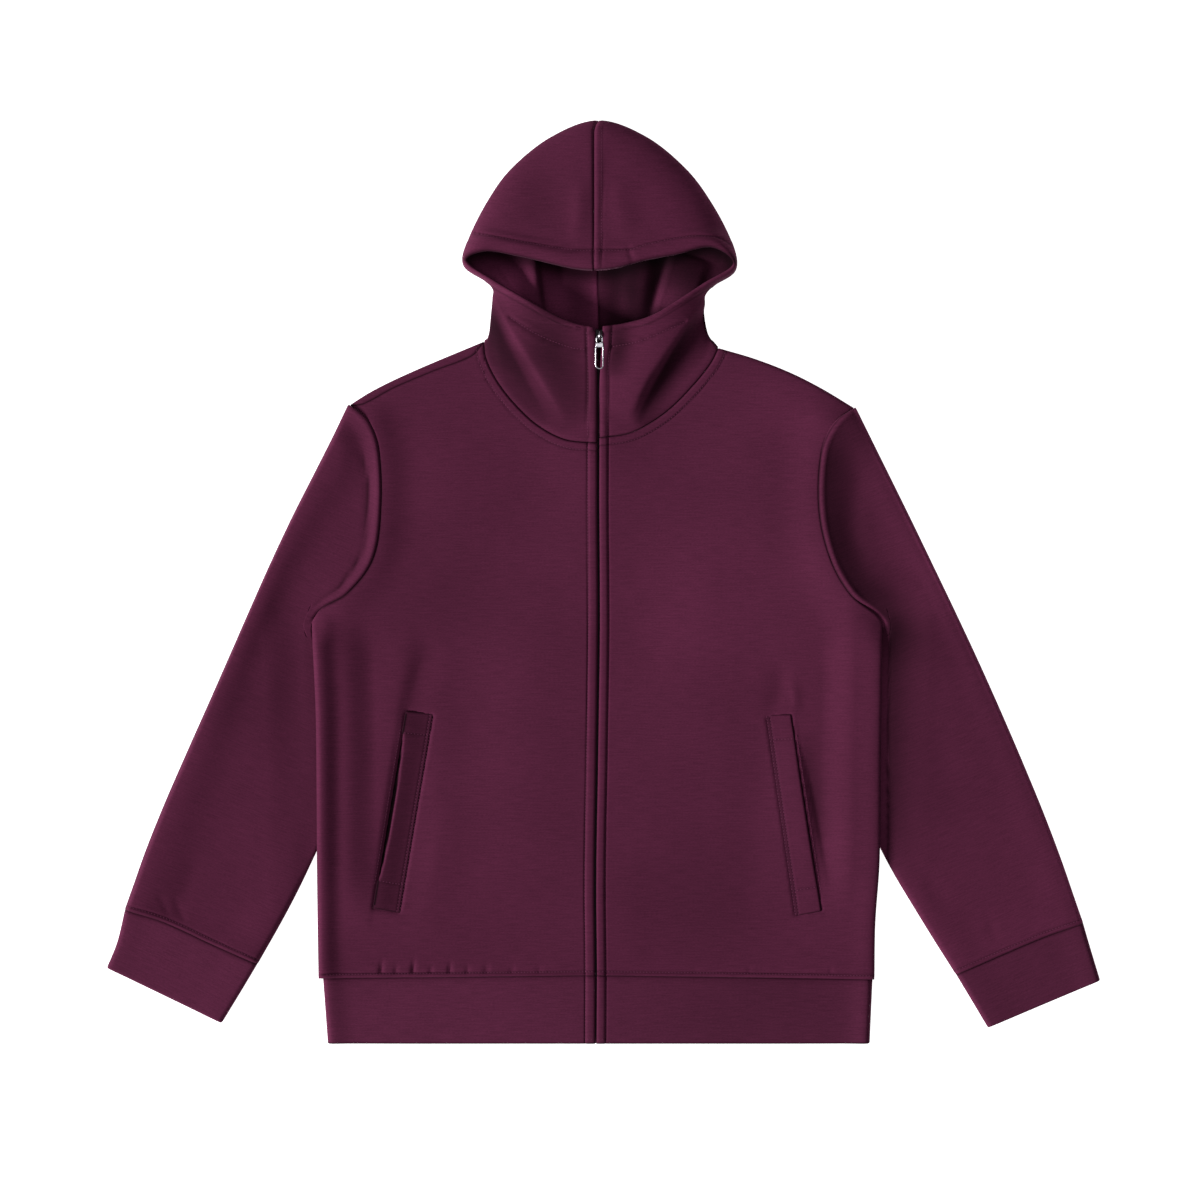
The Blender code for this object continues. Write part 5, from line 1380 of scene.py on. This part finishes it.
# Zip -------
zipParts = {
    "across": 0.9,
    "hinge": (706.2, 23.9), "tilt": 7.5,                     # up, height, degrees
    # width over all, wire, first and last turning points down from the hinge
    "loop": (8.8, 1.5, 12.4, 29.5), "eye": (7.0, 1.1, 2.95, 5.45),
    "bridge": (7.4, 4.4, 2.0), "bridgeDown": 9.8,
    "slider": (8.0, 12.0, 3.0), "sliderPlace": (706.4, 18.1),
    "bail": (10.8, 1.8, 3.3),                                 # length, wire, straight part
    "tooth": (2.3, 1.15, 1.5), "toothPitch": 2.0, "teeth": (7.0, 676.0), "toothIn": 0.75,
    # how far out a tooth's tape is looked for, and how far the tooth clears it
    "toothProbe": 6.0, "toothUp": 0.2,
}


def colourRamp(tree, value, colours, places):
    shade = addNode(tree, "ShaderNodeValToRGB", {"Fac": value})
    for stop, colour, place in zip(shade.color_ramp.elements, colours, places):
        stop.color, stop.position = colour, place
    return shade.outputs[0]


def metalMaterial(name, colour, low, high):
    # polished metal with fine rub marks that run down it
    material, tree, shader = newMaterial(name)
    place = addNode(tree, "ShaderNodeTexCoord").outputs["Object"]
    rubs = stretchedNoise(tree, place, (2600.0, 320.0, 2600.0), 3.0, 0.6)
    clouds = stretchedNoise(tree, place, (260.0, 260.0, 260.0), 2.0)
    worn = maths(tree, "MULTIPLY", rubs, clouds)
    tones = [(*(min(channel * factor, 1.0) for channel in colour), 1.0) for factor in (0.86, 1.06)]
    relief = addNode(tree, "ShaderNodeBump", {"Strength": 0.12, "Distance": 0.0001, "Height": rubs})
    setInputs(tree, shader, {
        "Base Color": colourRamp(tree, clouds, tones, (0.3, 0.7)), "Metallic": 1.0,
        "Roughness": ranged(tree, worn, 0.1, 0.45, low, high), "Normal": relief.outputs[0],
    })
    return material


def tapeMaterial():
    # fine woven tape: warps along it, wefts across
    material, tree, shader = newMaterial("zipTapeWeave")
    place = addNode(tree, "ShaderNodeTexCoord").outputs["Object"]
    weave = maths(tree, "MULTIPLY", waveBands(tree, place, "X", 380.0, 0.4),
                  waveBands(tree, place, "Y", 300.0, 0.4))
    patches = stretchedNoise(tree, place, (60.0, 60.0, 60.0), 3.0)
    mixed = maths(tree, "ADD", maths(tree, "MULTIPLY", weave, 0.6), maths(tree, "MULTIPLY", patches, 0.5))
    tones = ((0.020, 0.0045, 0.010, 1.0), (0.055, 0.012, 0.028, 1.0))
    relief = addNode(tree, "ShaderNodeBump", {"Strength": 0.4, "Distance": 0.0002, "Height": weave})
    setInputs(tree, shader, {
        "Base Color": colourRamp(tree, mixed, tones, (0.15, 0.85)), "Specular IOR Level": 0.25,
        "Roughness": ranged(tree, patches, 0.3, 0.7, 0.72, 0.88), "Normal": relief.outputs[0],
    })
    return material


polishedMetal = metalMaterial("polishedMetal", (0.62, 0.60, 0.645), 0.14, 0.3)
# the slider's body is painted near black as painted shade, for the recess it sits in under the tape's edges
sliderMetalPaintedShade = metalMaterial("sliderMetalPaintedShade", (0.035, 0.031, 0.035), 0.35, 0.55)
darkTeeth = metalMaterial("darkTeeth", (0.022, 0.016, 0.020), 0.5, 0.7)
tapeWeave = tapeMaterial()
for side in sides:
    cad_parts[f"zip_tape_{side}"].material_slots[0].material = tapeWeave


def moveWhere(piece, chosen, step):
    # moves only the chosen vertices, in edit mode
    bpy.ops.object.mode_set(mode="EDIT")
    bpy.ops.mesh.select_mode(type="VERT")
    bpy.ops.mesh.select_all(action="DESELECT")
    bpy.ops.object.mode_set(mode="OBJECT")
    for vertex in piece.data.vertices:
        vertex.select = bool(chosen(vertex.co))
    bpy.ops.object.mode_set(mode="EDIT")
    if step is None:
        bpy.ops.mesh.delete(type="VERT")
    else:
        bpy.ops.transform.translate(value=[value * mm for value in step])
    bpy.ops.object.mode_set(mode="OBJECT")


def ringOf(wire, width, rotation=(0.0, 0.0, 0.0)):
    bpy.ops.object.select_all(action="DESELECT")
    bpy.ops.mesh.primitive_torus_add(major_segments=32, minor_segments=12, rotation=rotation,
                                     major_radius=(width - wire) / 2 * mm, minor_radius=wire / 2 * mm)
    bpy.ops.object.transform_apply(location=False, rotation=True, scale=False)
    return bpy.context.object


def blockOf(size, edge, place=(0.0, 0.0, 0.0)):
    bpy.ops.object.select_all(action="DESELECT")
    bpy.ops.mesh.primitive_cube_add(size=mm)
    block = bpy.context.object
    block.scale, block.location = size, np.array(place) * mm
    bpy.ops.object.transform_apply(location=True, rotation=False, scale=True)
    bpy.ops.object.mode_set(mode="EDIT")
    bpy.ops.mesh.select_all(action="SELECT")
    bpy.ops.mesh.bevel(offset=edge * mm, segments=3, affect="EDGES", profile=0.6)
    bpy.ops.object.mode_set(mode="OBJECT")
    return block


def joined(name, pieces, material, place, tilt=0.0):
    # one object, with its own zero put at the garment's place
    bpy.ops.object.select_all(action="DESELECT")
    for piece in pieces:
        piece.select_set(True)
    bpy.context.view_layer.objects.active = pieces[0]
    bpy.ops.object.join()
    whole = bpy.context.object
    whole.name = whole.data.name = name
    whole.location, whole.rotation_euler = placed(place), (math.radians(tilt), 0.0, 0.0)
    bpy.ops.object.transform_apply(location=True, rotation=True, scale=True)
    bpy.ops.object.shade_smooth_by_angle(angle=math.radians(42))
    whole.data.materials.append(material)
    return whole


def makePull():
    rings = []
    for name in ("loop", "eye"):
        width, wire, first, last = zipParts[name]
        ring = ringOf(wire, width)
        moveWhere(ring, lambda spot: spot.y < -1e-6, (0.0, first - last, 0.0))
        ring.location.y = -first * mm
        bpy.ops.object.transform_apply(location=True, rotation=False, scale=False)
        rings.append(ring)
    bridge = blockOf(zipParts["bridge"], 0.45, (0.0, -zipParts["bridgeDown"], 0.0))
    pull = joined("pull_loop", [*rings, bridge], polishedMetal, (zipParts["across"], *zipParts["hinge"]),
                  zipParts["tilt"])
    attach(pull, "pull")
    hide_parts("zip_pull")


def makeSlider():
    length, wire, rise = zipParts["bail"]
    bail = ringOf(wire, length, (0.0, math.pi / 2, 0.0))
    moveWhere(bail, lambda spot: spot.z < -0.0005, None)
    moveWhere(bail, lambda spot: spot.z > 1e-6, (0.0, 0.0, rise))
    place = (zipParts["across"], *zipParts["sliderPlace"])
    slider = joined("slider_body", [blockOf(zipParts["slider"], 0.8)], sliderMetalPaintedShade, place)
    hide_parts("zip_slider")
    for piece in (slider, joined("slider_bail", [bail], polishedMetal, place)):
        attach(piece, "garment")


makePull()
makeSlider()


def repeated(name, source, frames, material):
    # one mesh of copies of a small part; each frame is three directions and a place
    points = np.array([tuple(vertex.co) for vertex in source.data.vertices])
    spots = np.einsum("pk,nkj->npj", points, frames[:, :3]) + frames[:, 3][:, None]
    faces = [[corner + i * len(points) for corner in polygon.vertices]
             for i in range(len(frames)) for polygon in source.data.polygons]
    mesh = bpy.data.meshes.new(name)
    mesh.from_pydata(spots.reshape(-1, 3).tolist(), [], faces)
    mesh.shade_smooth()
    mesh.materials.append(material)
    piece = addObject(name, mesh)
    bpy.data.objects.remove(source, do_unlink=True)
    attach(piece, "garment")


def treesOf(pieces):
    depsgraph = bpy.context.evaluated_depsgraph_get()
    return [BVHTree.FromObject(piece, depsgraph) for piece in pieces]


def topmost(trees, point):
    # the highest surface at a place in the garment's own millimetres, as a point and its normal
    spot = placed((*point, 120.0))
    hits = [tree.ray_cast(Vector(spot), Vector((0.0, 0.0, -1.0))) for tree in trees]
    return max(((hit[0], hit[1]) for hit in hits if hit[0]), key=lambda hit: hit[0].z, default=None)


def makeTeeth(side):
    sign = sides[side]
    trees = treesOf([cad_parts[f"zip_tape_{side}"]])
    (low, high), pitch = zipParts["teeth"], zipParts["toothPitch"]
    frames = []
    # the two rows stand half a pitch apart
    for up in np.arange(low + (0.0 if side == "right" else pitch / 2), high, pitch):
        under = topmost(trees, (sign * zipParts["toothProbe"], up))
        if under:
            foot = placed((sign * zipParts["toothIn"], up, 0.0))
            frames.append(((sign, 0, 0), (0, 1, 0), (0, 0, 1),
                           (foot[0], foot[1], under[0].z + zipParts["toothUp"] * mm)))
    tooth = blockOf(zipParts["tooth"], 0.25)
    repeated(f"zip_teeth_{side}", tooth, np.array(frames, float), darkTeeth)
    print("teeth", side, len(frames))


for side in sides:
    makeTeeth(side)

# Stitching -------
thread = {"pitch": 3.1, "size": (2.0, 0.8, 0.55), "sunk": 0.02, "colour": (0.115, 0.026, 0.060)}
threadKnit = knitMaterial("sewingThread", thread["colour"], 0.6, 0.6, grained=False)


def weltStitches(side):
    # beside its seam on either side, across at its two bars, and beyond its mouth
    topOut, topIn, lowOut, lowIn = weltCorners(side)
    inward = (topIn - topOut) / np.linalg.norm(topIn - topOut)
    lines = [np.array((topIn + inward * beside, lowIn + inward * beside))
             for beside in (-welt["stitch"], 0.5)]
    for bar in welt["bars"][side]:
        lines.append(np.array((topOut + (lowOut - topOut) * bar + inward, topIn + (lowIn - topIn) * bar)))
    first, last = welt["bars"][side]
    lines.append(straight(topOut, lowOut, (first - 0.02, last + 0.02)) - 2.8 * inward)
    return lines


def stitchLines():
    lines = []
    for side, sign in sides.items():
        stitched = front["placket"][side]
        across = np.linspace(2.2, 272.0, 90) * sign
        hemUp = body["panelBottom"] + hemWave(across) + front["hemStitch"] + 0.3
        neck = movedAside(neckSeams[side], -sign * front["neckStitch"])
        ups = np.linspace(607.0, 710.0, 30)
        lines += [
            np.stack((across, hemUp), axis=1),
            neck[np.abs(neck[:, 0]) > 12.0],
            upright(sign * stitched, 5.0, 62.0),
            upright(sign * stitched, 71.0, 597.0),
            np.stack((sign * placketReach(side, ups), ups), axis=1),
            movedAside(halfPath(sleeve["cuffSeam"], side), -sign * (sleeve["stitch"] + 0.2)),
            smoothPath(hood["collarStitch"][side]),
            np.array(((sign * 1.8, 4.6), (sign * (stitched - 0.8), 4.6))),
            *weltStitches(side),
        ]
    return [*lines, smoothPath(hood["brimStitch"]), upright(hood["crownStitch"], 794.0, 916.0)]


def makeStitches():
    trees = treesOf(clothPieces)
    frames = []
    for line in stitchLines():
        length = pathLength(line)
        count = max(int(length / thread["pitch"]), 1)
        places = sampled(line, np.linspace(0, 1, 2 * count + 1))
        for before, place, after in zip(places[:-1:2], places[1::2], places[2::2]):
            under = topmost(trees, place)
            if under is None:
                continue
            spot, normal = under
            run = Vector((*(after - before), 0.0))
            run = (run - normal * run.dot(normal)).normalized()
            spot = spot - normal * thread["sunk"] * mm
            frames.append([list(part) for part in (run, normal.cross(run), normal, spot)])
    bpy.ops.object.select_all(action="DESELECT")
    bpy.ops.mesh.primitive_uv_sphere_add(segments=6, ring_count=4, radius=0.5 * mm,
                                         rotation=(0.0, math.pi / 2, 0.0))
    stitch = bpy.context.object
    bpy.ops.object.transform_apply(location=False, rotation=True, scale=False)
    stitch.scale = thread["size"]
    bpy.ops.object.transform_apply(location=False, rotation=False, scale=True)
    repeated("stitching", stitch, np.array(frames), threadKnit)
    print("stitches", len(frames))


makeStitches()

# Floor, lights and camera -------
stage = {
    "floor": 6.0, "floorDown": 0.0002, "floorColour": (0.92, 0.92, 0.925, 1.0), "floorRoughness": 0.9,
    "glow": 1.05,
    "key": ((-2.6, -0.75, 1.06), 5.7, 0.26),          # where it comes from, strength and spread
    "softbox": ((0.3, 0.1, 2.6), 1.8, 9.0),           # place, size and power
    "air": ((0.95, 0.95, 1.0, 1.0), 0.15),
    "lens": 120.0, "film": 36.0,
    "eye": (-0.00345, -0.01815, 4.0),                 # straight above the middle of a 1.2 m square
}


def makeStage():
    bpy.ops.object.select_all(action="DESELECT")
    bpy.ops.mesh.primitive_plane_add(size=stage["floor"], location=(0.0, 0.0, -stage["floorDown"]))
    floor = bpy.context.object
    floor.name = "studioFloor"
    paper, tree, shader = newMaterial("paleFloor")
    setInputs(tree, shader, {
        "Base Color": stage["floorColour"], "Roughness": stage["floorRoughness"],
        "Emission Color": (1.0, 1.0, 1.0, 1.0), "Emission Strength": stage["glow"],
    })
    floor.data.materials.append(paper)


def makeLights():
    towards, power, spread = stage["key"]
    sun = bpy.data.lights.new("keyLight", "SUN")
    sun.energy, sun.angle = power, spread
    addObject("keyLight", sun).rotation_euler = Vector(towards).to_track_quat("Z", "Y").to_euler()
    place, size, power = stage["softbox"]
    softbox = bpy.data.lights.new("overheadSoftbox", "AREA")
    softbox.shape, softbox.size, softbox.energy = "DISK", size, power
    lamp = addObject("overheadSoftbox", softbox)
    lamp.location, lamp.rotation_euler = place, (-Vector(place)).to_track_quat("-Z", "Y").to_euler()
    world = bpy.data.worlds.new("studioAir")
    world.use_nodes = True
    colour, strength = stage["air"]
    setInputs(world.node_tree, world.node_tree.nodes["Background"], {"Color": colour, "Strength": strength})
    scene.world = world
    scene.view_settings.view_transform = "Standard"


def makeCamera():
    camera = bpy.data.cameras.new("overheadCamera")
    camera.lens, camera.sensor_width = stage["lens"], stage["film"]
    viewer = addObject("overheadCamera", camera)
    viewer.location = stage["eye"]
    scene.camera = viewer


makeStage()
makeLights()
makeCamera()
